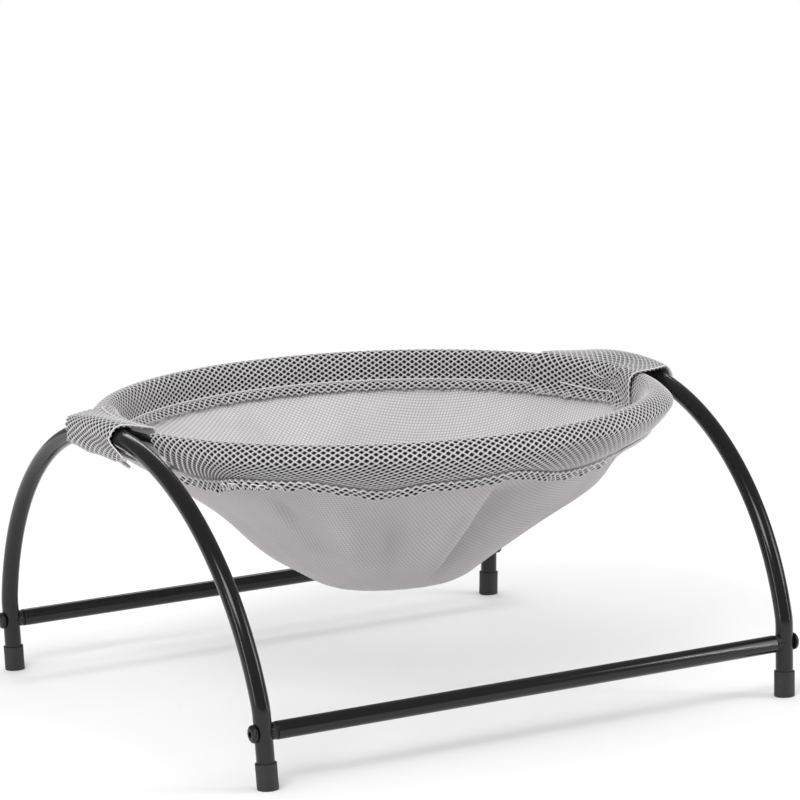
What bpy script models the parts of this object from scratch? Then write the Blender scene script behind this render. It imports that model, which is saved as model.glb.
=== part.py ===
"""Raised dog bed: a fabric bowl in a hoop, slung between two bent tube arches."""
import math

import bmesh
import bpy
from mathutils import Matrix, Vector

# Fits
GAP = 0.0003

# Tube frame
TUBE_RADIUS = 0.0065
TUBE_WALL = 0.0012
LEG_SPACING_X = 0.4313
LEG_SPACING_Y = 0.4305
RAIL_HEIGHT = 0.040
STUB_RISE = 0.0118
STUB_BEND_RADIUS = 0.035
FOOT_SPLAY_SHARE = 0.0246
ARCH_LEAN_SHARE = 0.0359
ARCH_START_ANGLE = 0.2636
ARCH_TIGHTEN_SHARE = -0.0736
ARCH_STEPS = 15
STUB_STEPS = 3
TUBE_RESOLUTION = 5
ROUND_STEPS = 24
FINE_STEPS = 20
BORE_STEPS = 16

# Arch joiner
JOINER_WALL = 0.0009
JOINER_LENGTH = 0.033
JOINER_STEPS = 6

# Foot caps
CAP_WALL = 0.0009
CAP_HEIGHT = 0.0189
CAP_FLOOR = 0.0028
CAP_LIP = 0.0005
CAP_ROUND = 0.0022
CAP_SINK = 0.0012

# Bolts and rail ends
BOLT_RADIUS = 0.0030
BOLT_LENGTH = 0.0270
BOLT_CHAMFER = 0.0006
HEAD_RADIUS = 0.0064
HEAD_HEIGHT = 0.0034
HEAD_RIM = 0.0009
SOCKET_RADIUS = 0.0023
SOCKET_DEPTH = 0.0020
DOME_FLAT_SHARE = 1.3
DOME_STEPS = 4
HOLE_CLEARANCE = 0.0003
SPACER_LENGTH = 0.0030
SPACER_RADIUS = 0.0061
SPACER_HORN = 0.0045
INSERT_LENGTH = 0.0140
INSERT_CHAMFER = 0.0005
RAIL_EDGE = 0.0004
CUTTER_MARGIN = 0.0100

# Hoop
ROD_RADIUS = 0.0040
HOOP_TO_ARCH = 0.0096
HOOP_BELOW_APEX = 0.0029
HOOP_STEPS = 30
ROD_RESOLUTION = 4
FERRULE_EASE = 0.0004
FERRULE_WALL = 0.0007
FERRULE_LENGTH = 0.0240
FERRULE_STEPS = 4
HOOP_JOINT_ANGLE = 5.0

# Bowl
BOWL_THICKNESS = 0.0018
BOWL_INSET = 0.0030
BOWL_DROP = 0.0188
BOWL_DEPTH = 0.1260
BOWL_SIDES = 56
BOWL_RADIUS_SHARES = (0.13, 0.246, 0.35, 0.447, 0.552, 0.675, 0.80, 0.915, 1.0)
BOWL_DEPTH_SHARES = (0.994, 0.955, 0.862, 0.765, 0.635, 0.462, 0.283, 0.117, 0.0)
FOLD_DEPTH = 0.0060
FOLD_TOP_SHARE = 0.117
FOLD_ANGLES = (215.5, 243.5, 270.5, 262.0, 327.0, 20.0, 75.0, 128.0, 172.0)
FOLD_WIDTHS = (3.0, 7.0, 3.4, 5.0, 6.0, 6.0, 7.0, 6.0, 5.0)
FOLD_SHARES = (0.45, 0.30, 0.80, -0.35, 0.30, 0.45, 0.30, 0.40, 0.35)

# Rim bands
BAND_THICKNESS = 0.0022
HEM_EASE = 0.0004
BAND_SEAM_ALONG = 0.0085
BAND_HEM_ALONG = 0.0205
BAND_HEM_WAVE = 0.0022
BAND_HEM_RISE = 0.0070
BAND_INNER_SEAM_ALONG = 0.0030
BAND_INNER_HEM_ALONG = 0.0115
BAND_SHOULDER = 0.0078
BAND_BELLY = 0.0016
BAND_BULGE = 0.0060
FRONT_BAND_ANGLES = (190.0, 351.5)
FRONT_BAND_SLANT = 9.0
BACK_BAND_ANGLES = (9.5, 170.5)
BAND_STEPS = 29

# Arch sleeves
SLEEVE_BACK_Y = 0.0790
SLEEVE_LEFT_FRONT_Y = -0.0240
SLEEVE_RIGHT_FRONT_Y = -0.0460
SLEEVE_FLAP = 0.0280
SLEEVE_INSET = 0.0040
SLEEVE_HEM_DROP = 0.0062
SLEEVE_LIFT = 0.0050
SLEEVE_SKIRT = 0.0110
SLEEVE_SIDE = 0.0012
SLEEVE_EASE_SHARE = 1.06
SLEEVE_BEARINGS = (92.0, 62.0, 30.0, -4.0)
SLEEVE_STEPS = 14

BLACK_STEEL = ((0.030, 0.030, 0.034, 1.0), 0.32, 0.85)
BLACK_RUBBER = ((0.035, 0.035, 0.038, 1.0), 0.62, 0.0)
BLACK_PLASTIC = ((0.022, 0.022, 0.024, 1.0), 0.48, 0.0)
BOLT_STEEL = ((0.040, 0.040, 0.044, 1.0), 0.38, 0.9)
ZINC_STEEL = ((0.520, 0.520, 0.530, 1.0), 0.40, 1.0)
GREY_MESH = ((0.480, 0.460, 0.455, 1.0), 0.85, 0.0)
GREY_CLOTH = ((0.420, 0.395, 0.385, 1.0), 0.90, 0.0)

SIDES = {"left": -1, "right": 1}
ENDS = {"front": -1, "back": 1}


def clear_scene():
    """Removes every object the scene holds."""
    for old in list(bpy.data.objects):
        bpy.data.objects.remove(old)


def collection(name, hidden):
    """A new collection under the scene's own."""
    made = bpy.data.collections.new(name)
    made.hide_render = hidden
    bpy.context.scene.collection.children.link(made)
    return made


def lerp(a, b, share):
    return a + (b - a) * share


def smooth(share):
    share = min(max(share, 0.0), 1.0)
    return share * share * (3.0 - 2.0 * share)


def paint(obj, finish):
    """Gives the object its own material."""
    colour, roughness, metallic = finish
    material = bpy.data.materials.new(obj.name)
    material.use_nodes = True
    shader = material.node_tree.nodes["Principled BSDF"]
    shader.inputs["Base Color"].default_value = colour
    shader.inputs["Roughness"].default_value = roughness
    shader.inputs["Metallic"].default_value = metallic
    obj.data.materials.append(material)


def place(name, mesh, finish, group, smooth_angle=0.6):
    """An object of the mesh, smooth but for its sharp edges."""
    obj = bpy.data.objects.new(name, mesh)
    group.objects.link(obj)
    mesh.shade_smooth()
    mesh.set_sharp_from_angle(angle=smooth_angle)
    paint(obj, finish)
    return obj


def cutter(name, mesh, group):
    obj = bpy.data.objects.new(name, mesh)
    obj.display_type = "WIRE"
    obj.hide_render = True
    group.objects.link(obj)
    return obj


def cut(obj, tool, operation="DIFFERENCE"):
    modifier = obj.modifiers.new(tool.name, "BOOLEAN")
    modifier.operation = operation
    modifier.solver = "EXACT"
    modifier.object = tool


def solidify(obj, thickness, offset):
    modifier = obj.modifiers.new("Wall", "SOLIDIFY")
    modifier.thickness = thickness
    modifier.offset = offset
    modifier.use_even_offset = True
    modifier.use_rim = True


def turned_mesh(name, profile, steps, closed):
    """The solid that the profile of (radius, height) points makes when it turns about Z."""
    mesh = bpy.data.meshes.new(name)
    work = bmesh.new()
    verts = [work.verts.new((radius, 0.0, height)) for radius, height in profile]
    edges = [work.edges.new(pair) for pair in zip(verts, verts[1:])]
    if closed:
        edges.append(work.edges.new((verts[-1], verts[0])))
    bmesh.ops.spin(
        work,
        geom=verts + edges,
        cent=(0.0, 0.0, 0.0),
        axis=(0.0, 0.0, 1.0),
        angle=math.tau,
        steps=steps,
        use_merge=True,
    )
    bmesh.ops.remove_doubles(work, verts=work.verts[:], dist=GAP / 30.0)
    bmesh.ops.recalc_face_normals(work, faces=work.faces[:])
    work.to_mesh(mesh)
    work.free()
    return mesh


def bar_mesh(name, radius, length, sides):
    """A cylinder along Z about the origin."""
    mesh = bpy.data.meshes.new(name)
    work = bmesh.new()
    bmesh.ops.create_cone(
        work,
        cap_ends=True,
        segments=sides,
        radius1=radius,
        radius2=radius,
        depth=length,
    )
    work.to_mesh(mesh)
    work.free()
    return mesh


def grid_mesh(name, rows, round_trip=False):
    """Faces between rows of points. A round trip joins each row's end to its start."""
    mesh = bpy.data.meshes.new(name)
    work = bmesh.new()
    grid = [[work.verts.new(point) for point in row] for row in rows]
    count = len(rows[0])
    for low, high in zip(grid, grid[1:]):
        for i in range(count if round_trip else count - 1):
            j = (i + 1) % count
            work.faces.new((low[i], low[j], high[j], high[i]))
    work.to_mesh(mesh)
    work.free()
    return mesh


def pipe(name, line, radius, finish, group, wall=0.0, resolution=TUBE_RESOLUTION):
    """A tube along the line, open at both ends, or a rod when it has no wall."""
    curve = bpy.data.curves.new(name + "_line", "CURVE")
    curve.dimensions = "3D"
    curve.bevel_depth = radius
    curve.bevel_resolution = resolution
    curve.use_fill_caps = wall == 0.0
    spline = curve.splines.new("POLY")
    spline.points.add(len(line) - 1)
    for point, target in zip(spline.points, line):
        point.co = (*target, 1.0)
    guide = bpy.data.objects.new(name + "_line", curve)
    bpy.context.scene.collection.objects.link(guide)
    graph = bpy.context.evaluated_depsgraph_get()
    mesh = bpy.data.meshes.new_from_object(guide.evaluated_get(graph))
    work = bmesh.new()
    work.from_mesh(mesh)
    bmesh.ops.remove_doubles(work, verts=work.verts[:], dist=GAP / 30.0)
    bmesh.ops.recalc_face_normals(work, faces=work.faces[:])
    work.to_mesh(mesh)
    work.free()
    mesh.materials.clear()
    obj = place(name, mesh, finish, group)
    obj.matrix_world = guide.matrix_world.copy()
    bpy.data.objects.remove(guide)
    if wall:
        solidify(obj, wall, -1.0)
    return obj


def arch_line():
    """The arch's centre line from the floor to the apex, as (reach, height) points."""
    half = LEG_SPACING_Y / 2.0
    points = []
    for i in range(STUB_STEPS + 1):
        height = lerp(CAP_FLOOR + GAP, RAIL_HEIGHT + STUB_RISE, i / STUB_STEPS)
        points.append((half + FOOT_SPLAY_SHARE * (RAIL_HEIGHT - height), height))
    splay = math.atan(FOOT_SPLAY_SHARE)
    angle = (splay + ARCH_START_ANGLE) / 2.0
    chord = STUB_BEND_RADIUS * (ARCH_START_ANGLE - splay)
    reach, height = points[-1]
    reach -= chord * math.sin(angle)
    height += chord * math.cos(angle)
    points.append((reach, height))
    shares = [(i + 0.5) / ARCH_STEPS for i in range(ARCH_STEPS)]
    bends = [1.0 + ARCH_TIGHTEN_SHARE * (2.0 * share - 1.0) for share in shares]
    turned = 0.0
    steps = []
    for bend in bends:
        turned += bend / 2.0
        heading = lerp(ARCH_START_ANGLE, math.pi / 2.0, turned / sum(bends))
        steps.append((math.sin(heading), math.cos(heading)))
        turned += bend / 2.0
    scale = reach / sum(step[0] for step in steps)
    for across, up in steps:
        reach -= scale * across
        height += scale * up
        points.append((max(reach, 0.0), height))
    return points


ARCH = arch_line()
APEX_HEIGHT = ARCH[-1][1]


def arch_x(height):
    """How far the arch's leaning plane is from the middle at this height."""
    return LEG_SPACING_X / 2.0 + ARCH_LEAN_SHARE * (height - RAIL_HEIGHT)


def arch_height(reach):
    """The centre line's height at this reach, on the upper part of the arch."""
    reach = abs(reach)
    for (far, low), (near, high) in zip(ARCH, ARCH[1:]):
        if near <= reach <= far and far > near:
            return lerp(high, low, (reach - near) / (far - near))
    return APEX_HEIGHT


APEX_X = arch_x(APEX_HEIGHT)
HOOP_RADIUS = APEX_X - TUBE_RADIUS - HOOP_TO_ARCH
HOOP_HEIGHT = APEX_HEIGHT - HOOP_BELOW_APEX
EDGE_RADIUS = HOOP_RADIUS - BOWL_INSET
EDGE_HEIGHT = HOOP_HEIGHT - BOWL_DROP


def arch_point(side, end, reach, height):
    return Vector((side * arch_x(height), end * reach, height))


def leg_matrix(side, end, height):
    """Places a piece on the leg at this height, with Z along the leg."""
    reach = LEG_SPACING_Y / 2.0 + FOOT_SPLAY_SHARE * (RAIL_HEIGHT - height)
    low = arch_point(side, end, reach, height)
    axis = Vector((side * ARCH_LEAN_SHARE, -end * FOOT_SPLAY_SHARE, 1.0))
    return Matrix.Translation(low) @ axis.to_track_quat("Z", "Y").to_matrix().to_4x4()


def along_x(side, end, reach_x):
    """Places a piece on the rail's axis, with Z pointing outwards."""
    turn = Matrix.Rotation(side * math.pi / 2.0, 4, "Y")
    return Matrix.Translation((side * reach_x, end * LEG_SPACING_Y / 2.0, RAIL_HEIGHT)) @ turn


def arc(centre, radius, start, stop, steps):
    """Points of an arc in the (radius, height) plane, angles in degrees."""
    found = []
    for i in range(steps + 1):
        angle = math.radians(lerp(start, stop, i / steps))
        found.append((centre[0] + radius * math.cos(angle), centre[1] + radius * math.sin(angle)))
    return found


def build_arches(group, cutters):
    """Two half tubes for each arch, drilled for the bolts, and the joiner on top."""
    bore = bar_mesh("bolt_drill", BOLT_RADIUS + HOLE_CLEARANCE, 4.0 * TUBE_RADIUS, BORE_STEPS)
    for side_name, side in SIDES.items():
        for end_name, end in ENDS.items():
            line = [arch_point(side, end, reach, height) for reach, height in ARCH]
            line[-1] = line[-1] + Vector((0.0, end * GAP, 0.0))
            name = f"arch_{side_name}_{end_name}"
            tube = pipe(name, line, TUBE_RADIUS, BLACK_STEEL, group, TUBE_WALL)
            drill = cutter("drill_" + name, bore, cutters)
            drill.matrix_world = along_x(side, end, LEG_SPACING_X / 2.0)
            cut(tube, drill)
        line = []
        for i in range(JOINER_STEPS + 1):
            reach = lerp(-JOINER_LENGTH / 2.0, JOINER_LENGTH / 2.0, i / JOINER_STEPS)
            line.append(arch_point(side, 1, reach, arch_height(reach)))
        radius = TUBE_RADIUS + GAP + JOINER_WALL
        pipe(f"arch_joiner_{side_name}", line, radius, BLACK_PLASTIC, group, JOINER_WALL)


def build_foot_caps(group, cutters):
    """Rubber cups on the leg ends, cut flat where they stand."""
    inner = TUBE_RADIUS + GAP
    outer = inner + CAP_WALL
    profile = [(0.0, CAP_FLOOR), (inner, CAP_FLOOR), (inner, CAP_HEIGHT)]
    profile += arc((outer - CAP_LIP, CAP_HEIGHT - CAP_LIP), CAP_LIP, 90.0, 0.0, 2)
    profile += arc((outer - CAP_ROUND, CAP_ROUND - CAP_SINK), CAP_ROUND, 0.0, -90.0, 4)
    profile += [(0.0, -CAP_SINK)]
    floor_mesh = bpy.data.meshes.new("floor_cut")
    work = bmesh.new()
    bmesh.ops.create_cube(work, size=CAP_HEIGHT * 2.0)
    work.to_mesh(floor_mesh)
    work.free()
    for side_name, side in SIDES.items():
        for end_name, end in ENDS.items():
            name = f"foot_cap_{end_name}_{side_name}"
            cap = place(name, turned_mesh(name, profile, ROUND_STEPS, False), BLACK_RUBBER, group)
            cap.matrix_world = leg_matrix(side, end, 0.0)
            floor = cutter("floor_" + name, floor_mesh, cutters)
            foot = cap.matrix_world.translation
            floor.location = (foot.x, foot.y, -CAP_HEIGHT)
            cut(cap, floor)


def build_rails(group):
    """The two straight tubes that tie the arches together."""
    half = LEG_SPACING_X / 2.0 - TUBE_RADIUS - SPACER_LENGTH
    inner = TUBE_RADIUS - TUBE_WALL
    profile = [
        (inner, half),
        (TUBE_RADIUS - RAIL_EDGE, half),
        (TUBE_RADIUS, half - RAIL_EDGE),
        (TUBE_RADIUS, -half + RAIL_EDGE),
        (TUBE_RADIUS - RAIL_EDGE, -half),
        (inner, -half),
    ]
    for end_name, end in ENDS.items():
        name = f"rail_{end_name}"
        rail = place(name, turned_mesh(name, profile, ROUND_STEPS, True), BLACK_STEEL, group)
        rail.matrix_world = along_x(1, end, 0.0)


def build_rail_ends(group, cutters):
    """At each rail end: the nut insert, the saddle spacer against the leg, and the bolt through the leg."""
    rail_end = LEG_SPACING_X / 2.0 - TUBE_RADIUS - SPACER_LENGTH
    bore = BOLT_RADIUS + HOLE_CLEARANCE
    insert_radius = TUBE_RADIUS - TUBE_WALL - GAP
    insert = [
        (bore, 0.0),
        (insert_radius - INSERT_CHAMFER, 0.0),
        (insert_radius, -INSERT_CHAMFER),
        (insert_radius, -INSERT_LENGTH + INSERT_CHAMFER),
        (insert_radius - INSERT_CHAMFER, -INSERT_LENGTH),
        (bore, -INSERT_LENGTH),
    ]
    spacer_length = SPACER_LENGTH + SPACER_HORN - GAP
    flat = SOCKET_RADIUS * DOME_FLAT_SHARE
    bolt = [(0.0, HEAD_HEIGHT)]
    for i in range(DOME_STEPS + 1):
        bearing = math.radians(90.0 * i / DOME_STEPS)
        across = lerp(flat, HEAD_RADIUS, math.sin(bearing))
        bolt.append((across, lerp(HEAD_RIM, HEAD_HEIGHT, math.cos(bearing))))
    bolt += [
        (HEAD_RADIUS, 0.0),
        (BOLT_RADIUS, 0.0),
        (BOLT_RADIUS, -BOLT_LENGTH + BOLT_CHAMFER),
        (BOLT_RADIUS - BOLT_CHAMFER, -BOLT_LENGTH),
        (0.0, -BOLT_LENGTH),
    ]
    socket_mesh = bar_mesh("socket_cut", SOCKET_RADIUS, SOCKET_DEPTH * 2.0, 6)
    leg_mesh = bar_mesh("leg_cut", TUBE_RADIUS + GAP, CUTTER_MARGIN * 4.0, 2 * BORE_STEPS)
    bore_mesh = bar_mesh("bore_cut", bore, CUTTER_MARGIN * 4.0, BORE_STEPS)
    for side_name, side in SIDES.items():
        for end_name, end in ENDS.items():
            where = f"{end_name}_{side_name}"
            name = "rail_insert_" + where
            piece = place(name, turned_mesh(name, insert, BORE_STEPS, True), ZINC_STEEL, group)
            piece.matrix_world = along_x(side, end, rail_end - GAP)
            name = "saddle_spacer_" + where
            blank = bar_mesh(name, SPACER_RADIUS, spacer_length, ROUND_STEPS)
            spacer = place(name, blank, BLACK_PLASTIC, group)
            spacer.matrix_world = along_x(side, end, rail_end + GAP + spacer_length / 2.0)
            leg = cutter("leg_" + where, leg_mesh, cutters)
            leg.matrix_world = leg_matrix(side, end, RAIL_HEIGHT)
            cut(spacer, leg)
            drill = cutter("bore_" + where, bore_mesh, cutters)
            drill.matrix_world = along_x(side, end, rail_end)
            cut(spacer, drill)
            name = "bolt_" + where
            screw = place(name, turned_mesh(name, bolt, FINE_STEPS, False), BOLT_STEEL, group)
            screw.matrix_world = along_x(side, end, LEG_SPACING_X / 2.0 + TUBE_RADIUS + GAP)
            key = cutter("socket_" + where, socket_mesh, cutters)
            key.matrix_world = along_x(side, end, LEG_SPACING_X / 2.0 + TUBE_RADIUS + GAP + HEAD_HEIGHT)
            cut(screw, key)


def on_hoop(radius, degrees, height):
    angle = math.radians(degrees)
    return Vector((radius * math.cos(angle), radius * math.sin(angle), height))


def hoop_line(start, stop, steps):
    return [on_hoop(HOOP_RADIUS, lerp(start, stop, i / steps), HOOP_HEIGHT) for i in range(steps + 1)]


def build_hoop(group):
    """Two half hoops of steel rod and the ferrules that hold their ends together."""
    clearance = math.degrees(GAP / HOOP_RADIUS)
    right = HOOP_JOINT_ANGLE
    left = 180.0 - HOOP_JOINT_ANGLE
    back = hoop_line(right + clearance, left - clearance, HOOP_STEPS)
    front = hoop_line(left + clearance, 360.0 + right - clearance, HOOP_STEPS)
    pipe("hoop_back", back, ROD_RADIUS, BLACK_STEEL, group, resolution=ROD_RESOLUTION)
    pipe("hoop_front", front, ROD_RADIUS, BLACK_STEEL, group, resolution=ROD_RESOLUTION)
    sweep = math.degrees(FERRULE_LENGTH / HOOP_RADIUS) / 2.0
    radius = ROD_RADIUS + GAP + FERRULE_EASE + FERRULE_WALL
    for name, middle in (("hoop_ferrule_right", right), ("hoop_ferrule_left", left)):
        line = hoop_line(middle - sweep, middle + sweep, FERRULE_STEPS)
        pipe(name, line, radius, BLACK_STEEL, group, FERRULE_WALL, ROD_RESOLUTION)


def turn_away(a, b):
    """The smaller angle between two bearings in degrees."""
    return abs((a - b + 180.0) % 360.0 - 180.0)


def fold_push(degrees):
    """How far the bowl's side is pushed in at this bearing, as a length."""
    push = 0.0
    for middle, width, share in zip(FOLD_ANGLES, FOLD_WIDTHS, FOLD_SHARES):
        push += share * math.exp(-((turn_away(degrees, middle) / width) ** 2))
    return push * FOLD_DEPTH


def bowl_profile():
    """The outer side from the middle of the bottom to the edge, as (radius, height) points."""
    radii = [share * EDGE_RADIUS for share in BOWL_RADIUS_SHARES]
    heights = [EDGE_HEIGHT - share * BOWL_DEPTH for share in BOWL_DEPTH_SHARES]
    return list(zip(radii, heights))


def build_bowl(group):
    """The sagging fabric bowl with its hanging folds."""
    mesh = bpy.data.meshes.new("bowl")
    work = bmesh.new()
    middle = work.verts.new((0.0, 0.0, EDGE_HEIGHT - BOWL_DEPTH))
    rows = []
    profile = bowl_profile()
    for radius, height in profile:
        row = []
        depth_share = (EDGE_HEIGHT - height) / BOWL_DEPTH
        strength = smooth((depth_share - FOLD_TOP_SHARE) * 7.0) * (1.0 - smooth((depth_share - 0.45) * 2.2))
        for i in range(BOWL_SIDES):
            degrees = 360.0 * i / BOWL_SIDES
            row.append(work.verts.new(on_hoop(radius - fold_push(degrees) * strength, degrees, height)))
        rows.append(row)
    for i in range(BOWL_SIDES):
        j = (i + 1) % BOWL_SIDES
        work.faces.new((middle, rows[0][j], rows[0][i]))
        for low, high in zip(rows, rows[1:]):
            work.faces.new((low[i], low[j], high[j], high[i]))
    work.to_mesh(mesh)
    work.free()
    obj = place("bowl", mesh, GREY_CLOTH, group)
    solidify(obj, BOWL_THICKNESS, -1.0)


def edge_frame():
    """The bowl's edge point, the way down its side and the way out of it."""
    (low_radius, low_height), (radius, height) = bowl_profile()[-2:]
    down = Vector((low_radius - radius, low_height - height)).normalized()
    return Vector((radius, height)), down, Vector((-down.y, down.x))


def band_section(hem_lift, bulge):
    """The band's middle line, from the outer hem over the hoop to the inner hem, as (radius, height)."""
    edge, down, out = edge_frame()
    hug = GAP + BAND_THICKNESS / 2.0
    wrap = ROD_RADIUS + hug
    hug += HEM_EASE
    rod = Vector((HOOP_RADIUS, HOOP_HEIGHT))
    outer_hem = edge + down * (BAND_HEM_ALONG - hem_lift) + out * hug
    outer_seam = edge + down * BAND_SEAM_ALONG + out * hug
    outer_low = edge + out * (hug + BAND_BELLY)
    outer_high = rod + Vector((BAND_SHOULDER + bulge, -wrap * 0.7))
    belly = (outer_low + outer_high) / 2.0 + out * BAND_BELLY
    inner_hem = edge + down * BAND_INNER_HEM_ALONG - out * (hug + BOWL_THICKNESS)
    inner_seam = edge + down * BAND_INNER_SEAM_ALONG - out * (hug + BOWL_THICKNESS)
    inner_high = rod + Vector((-BAND_SHOULDER, -wrap * 0.7))
    return [
        outer_hem,
        outer_seam,
        outer_low,
        belly,
        outer_high,
        rod + Vector((wrap + bulge * 0.6, wrap * 0.40)),
        rod + Vector((wrap * 0.62 + bulge * 0.2, wrap * 0.90)),
        rod + Vector((0.0, wrap * 1.02)),
        rod + Vector((-wrap * 0.62, wrap * 0.88)),
        rod + Vector((-wrap * 1.05, wrap * 0.25)),
        inner_high,
        lerp(inner_high, inner_seam, 0.55),
        inner_seam,
        inner_hem,
    ]


def hem_lift(degrees, start, stop):
    """How much the outer hem rises above its line at this bearing."""
    wave = math.sin(math.radians(degrees * 9.0)) + 0.6 * math.sin(math.radians(degrees * 17.0 + 40.0))
    near = min(degrees - start, stop - degrees)
    rise = 1.0 - smooth(near / 28.0)
    return BAND_HEM_WAVE * wave / 1.6 + BAND_HEM_RISE * rise


def build_band(name, angles, slant, bulge_at, group):
    """One fabric channel over the hoop from bearing to bearing."""
    start, stop = angles
    rows = []
    for i in range(BAND_STEPS + 1):
        share = i / BAND_STEPS
        degrees = lerp(start, stop, share)
        swell = BAND_BULGE * math.exp(-((turn_away(degrees, bulge_at) / 16.0) ** 2))
        section = band_section(hem_lift(degrees, start, stop), swell)
        row = []
        for k, (radius, height) in enumerate(section):
            lag = slant * (1.0 - smooth(k / 6.0)) * (1.0 - share) ** 2
            row.append(on_hoop(radius, degrees + lag, height))
        rows.append(row)
    obj = place(name, grid_mesh(name, rows), GREY_MESH, group)
    solidify(obj, BAND_THICKNESS, 0.0)


def sleeve_section(side, reach):
    """The sleeve's middle line across hoop and arch at this reach, from the inner hem to the outer skirt."""
    edge, _, _ = edge_frame()
    half = BAND_THICKNESS / 2.0
    band_inner = HOOP_RADIUS - BAND_SHOULDER - SLEEVE_INSET
    panel = math.sqrt(max(band_inner**2 - reach**2, 0.0))
    top = HOOP_HEIGHT + ROD_RADIUS + 2.0 * GAP + BAND_THICKNESS * 1.5 + half * 0.3
    axis_height = arch_height(reach)
    axis_x = arch_x(axis_height)
    hug = (TUBE_RADIUS + GAP + JOINER_WALL + GAP + half) * SLEEVE_EASE_SHARE
    lift = SLEEVE_LIFT * (reach / SLEEVE_BACK_Y) ** 2
    inner_seam = edge.y + SLEEVE_HEM_DROP * 0.45
    shoulder = panel + half * 9.5
    points = [
        (panel - SLEEVE_HEM_DROP * 0.90, inner_seam - SLEEVE_HEM_DROP),
        (panel, inner_seam),
        (panel + half * 0.4, lerp(inner_seam, top, 0.40)),
        (panel + half * 1.2, lerp(inner_seam, top, 0.75)),
        (panel + half * 4.5, top - half * 1.2),
        (shoulder, top),
    ]
    first = (axis_x, axis_height + hug + lift)
    points.append((lerp(shoulder, first[0], 0.5), lerp(top, first[1], 0.5) + half * 0.5))
    for bearing in SLEEVE_BEARINGS:
        angle = math.radians(bearing)
        rise = math.sin(angle)
        points.append((axis_x + hug * math.cos(angle), axis_height + hug * rise + lift * max(rise, 0.0)))
    outside = axis_x + hug + SLEEVE_SIDE
    points += [
        (outside, axis_height - SLEEVE_SKIRT * 0.65),
        (axis_x + hug * 0.85, axis_height - SLEEVE_SKIRT * 1.05),
        (axis_x + hug * 0.25, axis_height - SLEEVE_SKIRT * 1.20),
    ]
    return [Vector((side * x, reach, z)) for x, z in points]


def build_sleeve(name, side, front_y, group):
    """The end of the back band, wrapped over hoop and arch."""
    count = len(sleeve_section(side, 0.0))
    rows = []
    for i in range(SLEEVE_STEPS + 1):
        share = i / SLEEVE_STEPS
        row = []
        for k in range(count):
            inner = 1.0 - smooth((k - 2.0) / 5.0)
            flap = smooth((k - 8.0) / 4.0)
            front = front_y - SLEEVE_FLAP * flap
            back = SLEEVE_BACK_Y + SLEEVE_FLAP * 0.35 * flap - SLEEVE_FLAP * 0.2 * (1.0 - inner)
            reach = lerp(back, front, share)
            row.append(sleeve_section(side, reach)[k])
        rows.append(row)
    obj = place(name, grid_mesh(name, rows), GREY_MESH, group)
    if side > 0:
        obj.data.flip_normals()
    solidify(obj, BAND_THICKNESS, 0.0)


def main():
    clear_scene()
    bed = collection("dog_bed", False)
    cutters = collection("cutters", True)
    build_arches(bed, cutters)
    build_foot_caps(bed, cutters)
    build_rails(bed)
    build_rail_ends(bed, cutters)
    build_hoop(bed)
    build_bowl(bed)
    build_band("rim_band_front", FRONT_BAND_ANGLES, FRONT_BAND_SLANT, 328.0, bed)
    build_band("rim_band_back", BACK_BAND_ANGLES, 0.0, 0.0, bed)
    build_sleeve("arch_sleeve_left", -1, SLEEVE_LEFT_FRONT_Y, bed)
    build_sleeve("arch_sleeve_right", 1, SLEEVE_RIGHT_FRONT_Y, bed)


main()
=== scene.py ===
"""Raised dog bed: an open mesh rim and a cloth bowl in a hoop, slung between coated tube arches."""
import logging
import math
from dataclasses import dataclass, field
from enum import Enum
from typing import Any, Callable, Sequence

import bmesh
import bpy
import numpy as np
from mathutils import Matrix, Vector


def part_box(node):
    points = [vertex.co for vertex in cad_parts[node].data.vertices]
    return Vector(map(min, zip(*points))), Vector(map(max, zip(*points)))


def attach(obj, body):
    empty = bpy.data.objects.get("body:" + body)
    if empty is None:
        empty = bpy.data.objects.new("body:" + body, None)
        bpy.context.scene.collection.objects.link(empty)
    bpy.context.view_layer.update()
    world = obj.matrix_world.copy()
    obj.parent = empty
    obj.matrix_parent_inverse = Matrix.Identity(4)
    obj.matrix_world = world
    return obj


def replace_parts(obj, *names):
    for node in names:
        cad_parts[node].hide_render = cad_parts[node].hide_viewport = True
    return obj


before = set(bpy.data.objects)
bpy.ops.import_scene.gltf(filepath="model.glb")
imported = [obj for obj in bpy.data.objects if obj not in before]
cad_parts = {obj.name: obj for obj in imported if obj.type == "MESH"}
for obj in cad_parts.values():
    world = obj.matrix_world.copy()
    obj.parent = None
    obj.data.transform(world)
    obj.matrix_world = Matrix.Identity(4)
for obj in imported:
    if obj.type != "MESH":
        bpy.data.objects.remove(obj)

LOG = logging.getLogger("dog_bed")
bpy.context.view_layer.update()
BODY = "root"
SIDES = {"left": -1, "right": 1}
ENDS = {"front": -1, "back": 1}
WELD = 1e-6  # points closer than this become one
SLOPE_STEP = 0.0008  # the small distance that a form's slopes are measured over
ROUND = 3.0  # the sharpness angle that leaves a whole piece smooth
UPRIGHT = 0.9  # how upright a normal is where a face counts as facing up
YARN_SIDES = 8
WHITE = (1.0, 1.0, 1.0)
Colour = tuple[float, float, float]
Points = list[tuple[float, float]]
Work = bmesh.types.BMesh
Form = Callable[[np.ndarray, np.ndarray], np.ndarray]
Keep = Callable[[float, float], bool]


class Slot(Enum):
    """The record's material slots."""

    COATED_STEEL = "black_steel"
    BOLT = "bolt_steel"
    ZINC = "zinc_steel"
    RUBBER = "black_rubber"
    PLASTIC = "black_plastic"
    MESH = "grey_mesh"
    CLOTH = "grey_cloth"


def lerp(a: Any, b: Any, share: Any) -> Any:
    """Returns the value that lies at this share of the way from a to b."""
    return a + (b - a) * share


def smooth(share: Any) -> Any:
    """Returns a soft step that rises from 0 to 1 as the share does."""
    held = np.clip(share, 0.0, 1.0)
    return held * held * (3.0 - 2.0 * held)


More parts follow.
